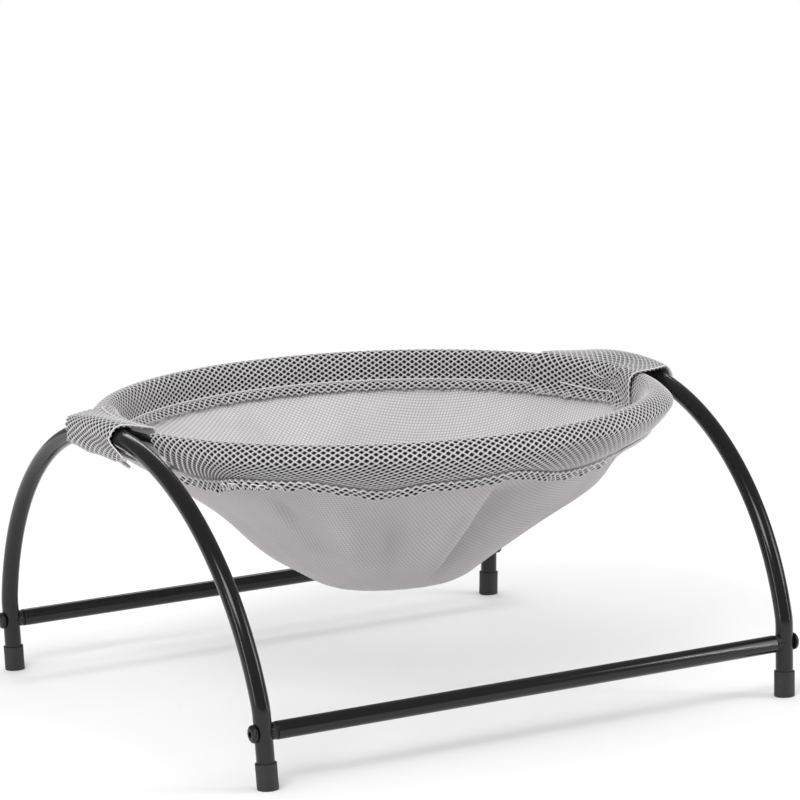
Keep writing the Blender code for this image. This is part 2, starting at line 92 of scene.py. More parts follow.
def bell(value: Any, middle: float, width: float) -> Any:
    """Returns a soft hump of height 1 about the middle."""
    return np.exp(-(((value - middle) / width) ** 2))


def turn_away(a: Any, b: float) -> Any:
    """Returns the signed angle from bearing b to bearing a, in degrees."""
    return (a - b + 180.0) % 360.0 - 180.0


def waves(degrees: np.ndarray, parts: Sequence[tuple[float, float, float]]) -> np.ndarray:
    """Returns a sum of waves round the hoop, each given as (height, count, start in degrees)."""
    return sum(height * np.sin(np.radians(degrees * count + start)) for height, count, start in parts)


def around(radius: Any, angle: np.ndarray, height: Any) -> np.ndarray:
    """Returns the points at these radii, angles in radians and heights."""
    return np.stack([radius * np.cos(angle), radius * np.sin(angle), height], axis=1)


def on_ring(found: np.ndarray, bearing: np.ndarray) -> np.ndarray:
    """Returns the points of (radius, height, lag in degrees) rows at these bearings in degrees."""
    return around(found[:, 0], np.radians(bearing + found[:, 2]), found[:, 1])


def run(points: np.ndarray) -> np.ndarray:
    """Returns how far along a line each of its points lies."""
    steps = np.linalg.norm(np.diff(points, axis=0), axis=1)
    return np.concatenate([[0.0], np.cumsum(steps)])


def read(wanted: Any, along: np.ndarray, points: np.ndarray) -> np.ndarray:
    """Returns a line's points at the wanted places, from its own points and their places."""
    return np.stack([np.interp(wanted, along, column) for column in points.T], axis=-1)


def lifted(form: Form, x: np.ndarray, y: np.ndarray, away: np.ndarray) -> np.ndarray:
    """Returns a form's points, moved out along its normals.

    Args:
        form: Gives the form's points for flat X and Y.
        x: The flat X.
        y: The flat Y.
        away: How far each point moves out.

    Returns:
        An array of shape (count, 3).
    """
    along = form(x + SLOPE_STEP, y) - form(x - SLOPE_STEP, y)
    across = form(x, y + SLOPE_STEP) - form(x, y - SLOPE_STEP)
    normal = np.cross(along, across)
    normal /= np.maximum(np.linalg.norm(normal, axis=1), 1e-12)[:, None]
    return form(x, y) + normal * away[:, None]


def only(kind: type, items: Sequence[Any]) -> list[Any]:
    """Returns the items that are of this kind."""
    return [item for item in items if isinstance(item, kind)]


class Value:
    """A shader socket that takes part in Python sums."""

    def __init__(self, graph: "Graph", socket: bpy.types.NodeSocket) -> None:
        """Keeps the socket with the graph it belongs to."""
        self.graph = graph
        self.socket = socket

    def math(self, operation: str, *others: Any) -> "Value":
        """Adds a Math node that takes this value first and the others after it."""
        inputs = dict(enumerate((self, *others)))
        return self.graph.add("ShaderNodeMath", {"operation": operation}, inputs)

    def reflected(self, operation: str, other: Any) -> "Value":
        """Adds a Math node with the other value first."""
        return self.graph.add("ShaderNodeMath", {"operation": operation}, {0: other, 1: self})

    def __add__(self, other: Any) -> "Value":
        """Returns the sum."""
        return self.math("ADD", other)

    __radd__ = __add__

    def __mul__(self, other: Any) -> "Value":
        """Returns the product."""
        return self.math("MULTIPLY", other)

    __rmul__ = __mul__

    def __sub__(self, other: Any) -> "Value":
        """Returns the difference."""
        return self.math("SUBTRACT", other)

    def __rsub__(self, other: Any) -> "Value":
        """Returns the difference, with this value taken away."""
        return self.reflected("SUBTRACT", other)

    def __truediv__(self, other: Any) -> "Value":
        """Returns the quotient."""
        return self.math("DIVIDE", other)

    def __pow__(self, other: Any) -> "Value":
        """Returns the power."""
        return self.math("POWER", other)

    def over(self, low: float, high: float) -> "Value":
        """Returns a soft step that rises from 0 at low to 1 at high."""
        settings = {"interpolation_type": "SMOOTHSTEP"}
        return self.graph.add("ShaderNodeMapRange", settings, {0: self, 1: low, 2: high})


class Graph:
    """A material's node tree, with one way to add a node."""

    def __init__(self, tree: bpy.types.NodeTree) -> None:
        """Empties the tree."""
        self.tree = tree
        self.tree.nodes.clear()

    def feed(self, socket: bpy.types.NodeSocket, value: Any) -> None:
        """Links a socket to a value, or sets it.

        Args:
            socket: The input socket.
            value: What it is fed.
        """
        if isinstance(value, Value):
            self.tree.links.new(value.socket, socket)
        elif isinstance(value, tuple) and socket.type == "RGBA":
            socket.default_value = (*value[:3], 1.0)
        else:
            socket.default_value = value

    def add(
        self,
        kind: str,
        settings: dict[str, Any] | None = None,
        inputs: dict[Any, Any] | None = None,
        output: Any = 0,
    ) -> Value:
        """Adds a node.

        Args:
            kind: The node's type.
            settings: Its properties, and a ramp's stops as (place, colour) pairs.
            inputs: The values or links of its sockets, by name or number.
            output: The socket that is returned.

        Returns:
            The node's output as a value.
        """
        node = self.tree.nodes.new(kind)
        for name, value in (settings or {}).items():
            if name == "stops":
                ramp = node.color_ramp
                while len(ramp.elements) < len(value):
                    ramp.elements.new(1.0)
                for element, (place, colour) in zip(ramp.elements, value):
                    element.position = place
                    element.color = (*colour, 1.0)
            else:
                setattr(node, name, value)
        for key, value in (inputs or {}).items():
            self.feed(node.inputs[key], value)
        return Value(self, node.outputs[output]) if node.outputs else None

    def mix(self, share: Any, first: Any, second: Any) -> Value:
        """Returns the colour that lies at this share of the way from the first to the second."""
        settings = {"data_type": "RGBA"}
        return self.add("ShaderNodeMix", settings, {0: share, 6: first, 7: second}, 2)

    def place(self) -> Value:
        """Returns the point in the object's own coordinates, in metres."""
        return self.add("ShaderNodeTexCoord", output="Object")

    def noise(self, scale: float, detail: float) -> Value:
        """Returns a soft noise from about 0.3 to 0.7, with this many blobs to the metre."""
        inputs = {"Vector": self.place(), "Scale": scale, "Detail": detail}
        return self.add("ShaderNodeTexNoise", {}, inputs)

    def attribute(self, name: str) -> Value:
        """Returns the strength of a mesh attribute."""
        return self.add("ShaderNodeAttribute", {"attribute_name": name}, output="Fac")

    def close(self, colour: Any, roughness: Any, height: Value, depth: float, fixed: dict[str, Any]) -> None:
        """Ends the graph in a Principled shader.

        Args:
            colour: Its Base Color.
            roughness: Its Roughness.
            height: The relief from 0 to 1.
            depth: How deep that relief is, in metres.
            fixed: Values that are the same all over the surface.
        """
        relief = {"Height": height, "Distance": depth, "Strength": 1.0}
        inputs = {"Base Color": colour, "Roughness": roughness, **fixed}
        inputs["Normal"] = self.add("ShaderNodeBump", {}, relief)
        shader = self.add("ShaderNodeBsdfPrincipled", {}, inputs)
        self.add("ShaderNodeOutputMaterial", {}, {"Surface": shader})


@dataclass(frozen=True)
class Finish:
    """A finish that every piece of one kind shares.

    Attributes:
        name: The material's name.
        slot: The record's slot that its pieces belong to. Not used.
        colour: Its main colour.
    """

    name: str
    slot: Slot
    colour: Colour

    def paint(self, graph: Graph) -> None:
        """Fills the graph."""
        raise NotImplementedError

    def material(self) -> bpy.types.Material:
        """Makes the finish's material on first use.

        Returns:
            The material.
        """
        made = bpy.data.materials.get(self.name)
        if made is None:
            made = bpy.data.materials.new(self.name)
            made.use_nodes = True
            self.paint(Graph(made.node_tree))
        return made


@dataclass(frozen=True)
class HardFinish(Finish):
    """Coated or bare metal, rubber and moulded plastic.

    Attributes:
        worn: The colour where it is rubbed.
        roughness: How matt it is.
        grain: Grains to the metre.
        grain_depth: How deep they are.
        metallic: 1 for bare metal.
        wear: How strongly the rubbed patches show.
        shine: How much it mirrors.
        blotches: Large soft blotches to the metre.
        scuffs: Rubbed patches to the metre.
    """

    worn: Colour = (0.05, 0.05, 0.05)
    roughness: float = 0.4
    grain: float = 2200.0
    grain_depth: float = 0.00003
    metallic: float = 0.0
    wear: float = 0.35
    shine: float = 0.5
    blotches: float = 42.0
    scuffs: float = 310.0

    def paint(self, graph: Graph) -> None:
        """Mottles the colour, rubs it in patches and gives it a fine grain.

        Args:
            graph: The material's graph.
        """
        cloud = graph.noise(self.blotches, 4.0)
        scuff = graph.noise(self.scuffs, 5.0).over(0.58, 0.74) * cloud.over(0.44, 0.62)
        colour = graph.mix(scuff * self.wear, self.colour, self.worn)
        grain = graph.noise(self.grain, 2.0)
        roughness = cloud * 0.10 + scuff * 0.12 + (self.roughness - 0.05)
        fixed = {"Metallic": self.metallic, "Specular IOR Level": self.shine}
        graph.close(colour, roughness, grain, self.grain_depth, fixed)


@dataclass(frozen=True)
class MeshFinish(Finish):
    """Open spacer mesh: pale round strands, with painted shade down their sides and in their holes.

    Attributes:
        hole_shade: The painted shade at the bottom of a hole.
        shade: The painted shade low on a strand, also the darker tone of its fibres and patches.
        clouds: Large soft patches to the metre.
        fibres: Fibres to the metre.
        loops: Knitted loops to the metre.
        relief: How deep the fibres and loops are.
    """

    hole_shade: Colour = (0.010, 0.010, 0.012)
    shade: Colour = (0.17, 0.165, 0.165)
    clouds: float = 26.0
    fibres: float = 2600.0
    loops: float = 1150.0
    relief: float = 0.00012

    def paint(self, graph: Graph) -> None:
        """Shades the strands by their height and gives them knitted loops.

        Args:
            graph: The material's graph.
        """
        low = graph.attribute("low")
        cloud = graph.noise(self.clouds, 3.0)
        fibre = graph.noise(self.fibres, 3.0)
        loop = graph.add("ShaderNodeTexVoronoi", {}, {"Vector": graph.place(), "Scale": self.loops})
        lit = graph.mix(fibre.over(0.35, 0.65) * 0.30, self.colour, self.shade)
        lit = graph.mix(cloud.over(0.30, 0.75) * 0.14, lit, self.shade)
        # Painted shade: the strands darken down their sides and the holes go nearly black at their floors.
        strand = graph.mix(low.over(0.03, 0.36) * 0.86, lit, self.shade)
        colour = graph.mix(low.over(0.44, 0.78), strand, self.hole_shade)
        height = loop * 0.6 + fibre * 0.4
        fixed = {"Sheen Weight": 0.12, "Sheen Roughness": 0.45, "Specular IOR Level": 0.25}
        graph.close(colour, 0.82 + cloud * 0.12, height, self.relief, fixed)


@dataclass(frozen=True)
class ClothFinish(Finish):
    """Fine quilted net: small raised dots in a woven lattice.

    Attributes:
        shade: The colour between the dots, and the painted shade in the dents and the crease.
        lining: The colour of the inner face, also painted as light on the bellies that bulge out.
        clouds: Large soft patches to the metre.
        yarns: Yarns to the metre.
        relief: How deep the yarns are.
    """

    shade: Colour = (0.27, 0.255, 0.258)
    lining: Colour = (0.86, 0.845, 0.85)
    clouds: float = 18.0
    yarns: float = 2400.0
    relief: float = 0.00010

    def paint(self, graph: Graph) -> None:
        """Lightens the dots and the lining, paints shade into the dents and the crease and light onto the
        bellies, and roughens the yarn between the dots.

        Args:
            graph: The material's graph.
        """
        low = graph.attribute("low")
        cloud = graph.noise(self.clouds, 3.0)
        yarn = graph.noise(self.yarns, 3.0)
        face = graph.mix(graph.attribute("lining"), self.colour, self.lining)
        base = graph.mix(cloud.over(0.30, 0.72) * 0.16, face, self.shade)
        # Painted shade in the dents and the crease, painted light on the bellies that bulge out.
        dent = graph.attribute("dent")
        base = graph.mix(dent.over(-0.15, 0.9) * 0.42, base, self.shade)
        base = graph.mix((0.0 - dent).over(0.05, 0.4) * 0.25, base, self.lining)
        colour = graph.mix(low.over(0.25, 0.9) * 0.62, base, self.shade)
        colour = graph.mix(yarn.over(0.40, 0.62) * 0.14, colour, self.shade)
        fixed = {"Sheen Weight": 0.10, "Sheen Roughness": 0.5, "Specular IOR Level": 0.3}
        graph.close(colour, 0.80 + cloud * 0.12, yarn, self.relief, fixed)


# How far down the bowl's side the front hem reaches, by its bearing in degrees.
FRONT_HEM = (
    (184.0, 0.010), (190.0, 0.014), (197.0, 0.0185), (204.0, 0.0190), (209.0, 0.0142),
    (216.0, 0.0108), (226.0, 0.0115), (233.0, 0.0208), (239.0, 0.0282), (243.4, 0.0315),
    (248.0, 0.0228), (256.0, 0.0210), (262.5, 0.0218), (268.0, 0.0150), (272.0, 0.0172),
    (277.0, 0.0248), (283.0, 0.0318), (290.0, 0.0322), (296.0, 0.0290), (303.0, 0.0220),
    (312.0, 0.0195), (320.0, 0.0190), (326.0, 0.0170), (338.0, 0.0150), (351.5, 0.0120),
)
COATED = HardFinish(
    "coated_steel", Slot.COATED_STEEL, (0.008, 0.008, 0.009), (0.030, 0.030, 0.032),
    roughness=0.15, grain=1500.0, grain_depth=0.00001, wear=0.12, shine=0.40,
)
OXIDE = HardFinish(
    "oxide_bolt", Slot.BOLT, (0.022, 0.022, 0.024), (0.16, 0.155, 0.15),
    roughness=0.38, grain=2600.0, grain_depth=0.00002, metallic=0.55, wear=0.5,
)
ZINCED = HardFinish(
    "zinc_insert", Slot.ZINC, (0.50, 0.50, 0.51), (0.32, 0.32, 0.33),
    roughness=0.40, grain=2000.0, metallic=1.0,
)
RUBBER = HardFinish(
    "cap_rubber", Slot.RUBBER, (0.017, 0.017, 0.019), (0.055, 0.055, 0.056),
    roughness=0.55, grain=2600.0, grain_depth=0.00005,
)
MOULDED = HardFinish(
    "moulded_plastic", Slot.PLASTIC, (0.010, 0.010, 0.011), (0.04, 0.04, 0.04),
    roughness=0.48, grain=2400.0, grain_depth=0.00004,
)
YARN = HardFinish(
    "hem_yarn", Slot.MESH, (0.74, 0.73, 0.735), (0.52, 0.51, 0.515),
    roughness=0.8, grain=1800.0, grain_depth=0.00020, wear=0.6, shine=0.2,
)
RIM_MESH = MeshFinish("rim_mesh", Slot.MESH, (0.76, 0.745, 0.75))
BOWL_CLOTH = ClothFinish("bowl_cloth", Slot.CLOTH, (0.56, 0.53, 0.54))


def linked(name: str, data: bpy.types.ID) -> bpy.types.Object:
    """Returns a new object in the scene that shows this data."""
    bpy.context.scene.collection.objects.link(made := bpy.data.objects.new(name, data))
    return made


def finish_piece(name: str, work: Work, finish: Finish, angle: float = 0.7) -> bpy.types.Object:
    """Makes an object of the work, smooth but for its sharp edges, that rides on the bed.

    Args:
        name: The piece's name.
        work: Its mesh, which is freed.
        finish: What it is dressed in.
        angle: Edges that turn further stay sharp, in radians.

    Returns:
        The new object.
    """
    mesh = bpy.data.meshes.new(name)
    work.to_mesh(mesh)
    work.free()
    mesh.shade_smooth()
    mesh.set_sharp_from_angle(angle=angle)
    piece = linked(name, mesh)
    mesh.materials.append(finish.material())
    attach(piece, BODY)
    LOG.info("%s: %d faces", name, len(mesh.polygons))
    return piece


def put(node: str, work: Work, finish: Finish, angle: float = 0.7) -> None:
    """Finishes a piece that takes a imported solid's place."""
    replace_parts(finish_piece(node + "_finished", work, finish, angle), node)


def sweep(line: Sequence[Vector], radius: float, sides: int) -> Work:
    """Draws a ring along a line and fills both ends.

    Args:
        line: The centre line's points.
        radius: The ring's radius.
        sides: How many sides it has.

    Returns:
        The tube.
    """
    work = bmesh.new()
    heading = (line[1] - line[0]).normalized()
    place = Matrix.Translation(line[0]) @ heading.to_track_quat("Z", "Y").to_matrix().to_4x4()
    ring = bmesh.ops.create_circle(work, segments=sides, radius=radius, matrix=place)["verts"]
    edges = list({edge for vert in ring for edge in vert.link_edges})
    first = list(edges)
    for i in range(1, len(line)):
        ahead = (line[min(i + 1, len(line) - 1)] - line[i - 1]).normalized()
        grown = bmesh.ops.extrude_edge_only(work, edges=edges)["geom"]
        edges = only(bmesh.types.BMEdge, grown)
        swing = heading.rotation_difference(ahead).to_matrix().to_4x4()
        heading = ahead
        move = Matrix.Translation(line[i]) @ swing @ Matrix.Translation(-line[i - 1])
        bmesh.ops.transform(work, matrix=move, verts=only(bmesh.types.BMVert, grown))
    bmesh.ops.holes_fill(work, edges=first + edges, sides=sides)
    bmesh.ops.recalc_face_normals(work, faces=work.faces[:])
    return work


def turned(profile: Points, steps: int, place: Matrix) -> Work:
    """Spins a profile about Z, then puts the shape in its place.

    Args:
        profile: Its (radius, height) points.
        steps: How many steps make the whole turn.
        place: Where the shape goes.

    Returns:
        The shape.
    """
    work = bmesh.new()
    verts = [work.verts.new((radius, 0.0, height)) for radius, height in profile]
    edges = [work.edges.new(pair) for pair in zip(verts, verts[1:])]
    axis = {"cent": (0, 0, 0), "axis": (0, 0, 1)}
    bmesh.ops.spin(work, geom=verts + edges, angle=math.tau, steps=steps, use_merge=True, **axis)
    bmesh.ops.remove_doubles(work, verts=work.verts[:], dist=WELD)
    bmesh.ops.recalc_face_normals(work, faces=work.faces[:])
    bmesh.ops.transform(work, matrix=place, verts=work.verts[:])
    return work


def arc(centre: tuple[float, float], radius: float, start: float, stop: float, steps: int) -> Points:
    """Returns an arc's points as (radius, height), with its angles in degrees."""
    angles = [math.radians(lerp(start, stop, i / steps)) for i in range(steps + 1)]
    return [(centre[0] + radius * math.cos(a), centre[1] + radius * math.sin(a)) for a in angles]


def smoothed_copy(node: str, finish: Finish) -> None:
    """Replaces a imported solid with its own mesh, joined up so that it can be shaded round.

    Args:
        node: The solid's node.
        finish: What it is dressed in.
    """
    work = bmesh.new()
    work.from_mesh(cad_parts[node].data)
    bmesh.ops.remove_doubles(work, verts=work.verts[:], dist=WELD)
    put(node, work, finish)


@dataclass
class TubeFrame:
    """The bolted frame: two arches of bent tube on capped feet, tied by two rails.

    Attributes:
        spacer: How far a saddle spacer keeps a rail's end off the leg.
        stub_rise: How far above the rails the arch starts to bend.
        stub_bend: How long that first bend is.
        stub_steps: How many steps it is drawn in.
        foot_splay_share: How far the feet spread along Y for each metre of height.
        lean_share: How far the arches lean out along X for each metre of height.
        start_angle: How far the arch leans in where its long bend starts, in radians.
        tighten_share: How much tighter than its mean the bend is at its apex.
        bend_steps: How many steps the long bend is drawn in.
        sides: Sides of a tube, rail or cap.
        edge_break: How far the rails' end edges are broken.
        gap: The clearance between parts.
        socket_width: The bolt's socket from flat to flat.
        mouth_share: How much wider the socket's round mouth is.
        dome_share: How much wider the flat round it is.
        dome_steps: How many steps the button head's curve is drawn in.
        line: The arch's centre line as (reach, height) points.
    """

    spacer: float = 0.0030
    stub_rise: float = 0.0118
    stub_bend: float = 0.035
    stub_steps: int = 4
    foot_splay_share: float = 0.0246
    lean_share: float = 0.0359
    start_angle: float = 0.2636
    tighten_share: float = -0.0736
    bend_steps: int = 60
    sides: int = 36
    edge_break: float = 0.00048
    cap_height: float = 0.0189
    cap_wall: float = 0.0009
    cap_floor: float = 0.0028
    cap_round: float = 0.0022
    cap_lip: float = 0.0005
    gap: float = 0.0003
    head_radius: float = 0.0064
    head_height: float = 0.0034
    head_rim: float = 0.0009
    socket_width: float = 0.0042
    socket_depth: float = 0.0020
    mouth_share: float = 1.12
    dome_share: float = 1.30
    dome_steps: int = 8
    bolt_radius: float = 0.0030
    bolt_length: float = 0.0270
    radius: float = field(init=False)
    rail_height: float = field(init=False)
    half_x: float = field(init=False)
    half_y: float = field(init=False)
    line: Points = field(init=False)

    def __post_init__(self) -> None:
        """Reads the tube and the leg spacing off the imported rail."""
        low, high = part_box("rail_front")
        self.radius = (high.z - low.z) / 2.0
        self.rail_height = (high.z + low.z) / 2.0
        self.half_x = high.x + self.spacer + self.radius
        self.half_y = -(high.y + low.y) / 2.0
        self.line = self.arch_line()

    def arch_line(self) -> Points:
        """Bends the arch's centre line from the floor to the apex.

        Returns:
            Its (reach, height) points.
        """
        height = self.rail_height + self.stub_rise
        points = [(self.leg_reach(self.cap_floor), self.cap_floor), (self.leg_reach(height), height)]
        splay = math.atan(self.foot_splay_share)
        chord = self.stub_bend * (self.start_angle - splay) / self.stub_steps
        for i in range(self.stub_steps):
            angle = lerp(splay, self.start_angle, (i + 0.5) / self.stub_steps)
            reach, height = points[-1]
            points.append((reach - chord * math.sin(angle), height + chord * math.cos(angle)))
        reach, height = points[-1]
        shares = (np.arange(self.bend_steps) + 0.5) / self.bend_steps
        bends = 1.0 + self.tighten_share * (2.0 * shares - 1.0)
        headings = lerp(self.start_angle, math.pi / 2.0, (np.cumsum(bends) - bends / 2.0) / bends.sum())
        scale = reach / np.sin(headings).sum()
        for heading in headings:
            reach -= scale * math.sin(heading)
            height += scale * math.cos(heading)
            points.append((max(reach, 0.0), height))
        return points

    def leg_reach(self, height: float) -> float:
        """Returns how far from the middle the leg stands at this height."""
        return self.half_y + self.foot_splay_share * (self.rail_height - height)

    def arch_x(self, height: Any) -> Any:
        """Returns how far the arch's leaning plane is from the middle at this height."""
        return self.half_x + self.lean_share * (height - self.rail_height)

    def arch_height(self, reach: Any) -> Any:
        """Returns the centre line's height at this reach."""
        upper = self.line[2:][::-1]
        return np.interp(np.abs(reach), [p[0] for p in upper], [p[1] for p in upper])

    def on_leg(self, side: int, end: int, height: float) -> Matrix:
        """Finds a place on a leg's axis.

        Args:
            side: -1 for left, 1 for right.
            end: -1 for front, 1 for back.
            height: Its height.

        Returns:
            The place, with Z along the leg.
        """
        foot = Vector((side * self.arch_x(height), end * self.leg_reach(height), height))
        axis = Vector((side * self.lean_share, -end * self.foot_splay_share, 1.0))
        return Matrix.Translation(foot) @ axis.to_track_quat("Z", "Y").to_matrix().to_4x4()

    def on_rail(self, side: int, end: int, reach: float) -> Matrix:
        """Returns the place on the rail's axis, with Z pointing outwards."""
        spot = Matrix.Translation((side * reach, end * self.half_y, self.rail_height))
        return spot @ Matrix.Rotation(side * math.pi / 2.0, 4, "Y")

    def build_arch(self, side_name: str, end_name: str) -> None:
        """Bends one half arch.

        Args:
            side_name: Left or right.
            end_name: Front or back.
        """
        side = SIDES[side_name]
        end = ENDS[end_name]
        line = [Vector((side * self.arch_x(z), end * reach, z)) for reach, z in self.line]
        line[-1].y += end * self.gap
        put(f"arch_{side_name}_{end_name}", sweep(line, self.radius, self.sides), COATED)

    def build_rail(self, end_name: str) -> None:
        """Cuts one straight rail, with its end edges broken.

        Args:
            end_name: Front or back.
        """
        low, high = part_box("rail_" + end_name)
        place = Matrix.Translation((low + high) / 2.0) @ Matrix.Rotation(math.pi / 2.0, 4, "Y")
        form = {"segments": self.sides, "radius1": self.radius, "radius2": self.radius}
        work = bmesh.new()
        bmesh.ops.create_cone(work, cap_ends=True, matrix=place, depth=high.x - low.x, **form)
        ends = [edge for edge in work.edges if len(edge.link_faces) == 2 and edge.calc_face_angle() > 1.0]
        cut = {"offset": self.edge_break, "segments": 3, "profile": 0.5, "affect": "EDGES", "material": -1}
        bmesh.ops.bevel(work, geom=ends, **cut)
        put("rail_" + end_name, work, COATED)

    def build_cap(self, side_name: str, end_name: str) -> None:
        """Turns one rubber foot cap and cuts it flat where it stands.

        Args:
            side_name: Left or right.
            end_name: Front or back.
        """
        inner = self.radius + self.gap
        outer = inner + self.cap_wall
        top = self.cap_height - self.cap_lip
        inner_lip = self.cap_lip * 0.6
        sink = self.cap_round * 0.55
        profile = [(0.0, self.cap_floor), (inner, self.cap_floor), (inner, top)]
        profile += arc((inner + inner_lip, top), inner_lip, 180, 90, 3)
        profile += arc((outer - self.cap_lip, top), self.cap_lip, 90, 0, 4)
        profile += [(outer - self.gap * 0.3, self.cap_height * 0.55)]
        profile += arc((outer - self.cap_round, self.cap_round - sink), self.cap_round, 0, -90, 8)
        profile += [(0.0, -sink)]
        work = turned(profile, self.sides, self.on_leg(SIDES[side_name], ENDS[end_name], 0.0))
        geom = work.verts[:] + work.edges[:] + work.faces[:]
        floor = {"plane_co": (0, 0, 0), "plane_no": (0, 0, -1)}
        cut = bmesh.ops.bisect_plane(work, geom=geom, clear_outer=True, **floor)
        bmesh.ops.contextual_create(work, geom=only(bmesh.types.BMEdge, cut["geom_cut"]))
        bmesh.ops.recalc_face_normals(work, faces=work.faces[:])
        put(f"foot_cap_{end_name}_{side_name}", work, RUBBER)

    def build_bolt(self, side_name: str, end_name: str) -> None:
        """Turns one button-head bolt and sinks its six-sided socket.

        Args:
            side_name: Left or right.
            end_name: Front or back.
        """
        half = self.socket_width / 2.0
        profile = [(half * self.mouth_share, self.head_height)]
        for i in range(self.dome_steps + 1):
            bearing = math.radians(90.0 * i / self.dome_steps)
            across = lerp(half * self.dome_share, self.head_radius, math.sin(bearing))
            profile.append((across, lerp(self.head_rim, self.head_height, math.cos(bearing))))
        profile += arc((self.head_radius - self.gap, self.gap), self.gap, 0, -90, 3)
        profile += [(self.bolt_radius, 0.0), (self.bolt_radius, -self.bolt_length), (0.0, -self.bolt_length)]
        work = turned(profile, 48, Matrix.Identity(4))
        rim = [edge for edge in work.edges if edge.is_boundary]
        sixth = math.pi / 3.0
        for vert in {vert for edge in rim for vert in edge.verts}:
            bearing = math.atan2(vert.co.y, vert.co.x)
            reach = half / math.cos((bearing + sixth / 2.0) % sixth - sixth / 2.0)
            vert.co = Vector((reach * math.cos(bearing), reach * math.sin(bearing), vert.co.z))
        grown = bmesh.ops.extrude_edge_only(work, edges=rim)["geom"]
        floor = only(bmesh.types.BMVert, grown)
        bmesh.ops.translate(work, verts=floor, vec=(0, 0, -self.socket_depth))
        bmesh.ops.contextual_create(work, geom=only(bmesh.types.BMEdge, grown))
        bmesh.ops.recalc_face_normals(work, faces=work.faces[:])
        place = self.on_rail(SIDES[side_name], ENDS[end_name], self.half_x + self.radius + self.gap)
        bmesh.ops.transform(work, matrix=place, verts=work.verts[:])
        put(f"bolt_{end_name}_{side_name}", work, OXIDE, 0.5)

    def build(self) -> None:
        """Builds and dresses every hard piece of the frame."""
        for end_name in ENDS:
            self.build_rail(end_name)
            for side_name in SIDES:
                self.build_arch(side_name, end_name)
                self.build_cap(side_name, end_name)
                self.build_bolt(side_name, end_name)
                smoothed_copy(f"rail_insert_{end_name}_{side_name}", ZINCED)
                smoothed_copy(f"saddle_spacer_{end_name}_{side_name}", MOULDED)
        for side_name in SIDES:
            smoothed_copy(f"arch_joiner_{side_name}", MOULDED)


@dataclass
class Hoop:
    """The steel hoop that carries the cloth, in two halves.

    Attributes:
        steps: How many points a half is drawn through.
        sides: Sides of the rod.
        free: The angle left free at each end, in degrees.
        radius: The hoop's radius.
        height: The rod's middle above the floor.
        rod: The rod's radius.
    """

    steps: int = 120
    sides: int = 24
    free: float = 0.08
    radius: float = field(init=False)
    height: float = field(init=False)
    rod: float = field(init=False)

    def __post_init__(self) -> None:
        """Reads the hoop off its packed front half."""
        low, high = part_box("hoop_front")
        self.rod = (high.z - low.z) / 2.0
        self.height = (high.z + low.z) / 2.0
        self.radius = -low.y - self.rod

    def build(self) -> None:
        """Bends both halves, and dresses the ferrules that join them."""
        low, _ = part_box("hoop_back")
        start = math.degrees(math.asin((low.y + self.rod) / self.radius))
        ends = {"hoop_back": (start, 180.0 - start), "hoop_front": (180.0 - start, 360.0 + start)}
        for name, (first, last) in ends.items():
            angles = np.radians(np.linspace(first + self.free, last - self.free, self.steps))
            round_it = [(self.radius * math.cos(a), self.radius * math.sin(a)) for a in angles]
            line = [Vector((x, y, self.height)) for x, y in round_it]
            put(name, sweep(line, self.rod, self.sides), COATED)
        for side_name in SIDES:
            smoothed_copy(f"hoop_ferrule_{side_name}", COATED)


def spline(points: np.ndarray, between: int) -> np.ndarray:
    """Runs a smooth curve through points.

    Args:
        points: An array of shape (..., count, axes).
        between: How many steps it takes from one point to the next.

    Returns:
        An array of shape (..., (count - 1) * between + 1, axes).
    """
    first = 2.0 * points[..., :1, :] - points[..., 1:2, :]
    last = 2.0 * points[..., -1:, :] - points[..., -2:-1, :]
    padded = np.concatenate([first, points, last], axis=-2)
    p0, p1, p2, p3 = (padded[..., i : padded.shape[-2] - 3 + i, None, :] for i in range(4))
    u = (np.arange(between) / between)[:, None]
    square = (2.0 * p0 - 5.0 * p1 + 4.0 * p2 - p3) * u**2
    cube = (3.0 * p1 - p0 - 3.0 * p2 + p3) * u**3
    bent = 0.5 * (2.0 * p1 + (p2 - p0) * u + square + cube)
    flat = bent.reshape(*points.shape[:-2], -1, points.shape[-1])
    return np.concatenate([flat, points[..., -1:, :]], axis=-2)


class Table:
    """Points of a surface at even steps of two shares, read in between."""

    def __init__(self, values: np.ndarray) -> None:
        """Keeps values of shape (along, across, axes)."""
        self.values = values

    def at(self, along: np.ndarray, across: np.ndarray) -> np.ndarray:
        """Returns the values at these shares.

        Args:
            along: Shares from 0 to 1 along the first axis.
            across: Shares from 0 to 1 along the second.

        Returns:
            An array of shape (count, axes).
        """
        rows, columns = self.values.shape[:2]
        i = np.clip(along, 0.0, 1.0) * (rows - 1)
        j = np.clip(across, 0.0, 1.0) * (columns - 1)
        i0 = np.minimum(i.astype(int), rows - 2)
        j0 = np.minimum(j.astype(int), columns - 2)
        u = (i - i0)[:, None]
        v = (j - j0)[:, None]
        low = lerp(self.values[i0, j0], self.values[i0, j0 + 1], v)
        high = lerp(self.values[i0 + 1, j0], self.values[i0 + 1, j0 + 1], v)
        return lerp(low, high, u)


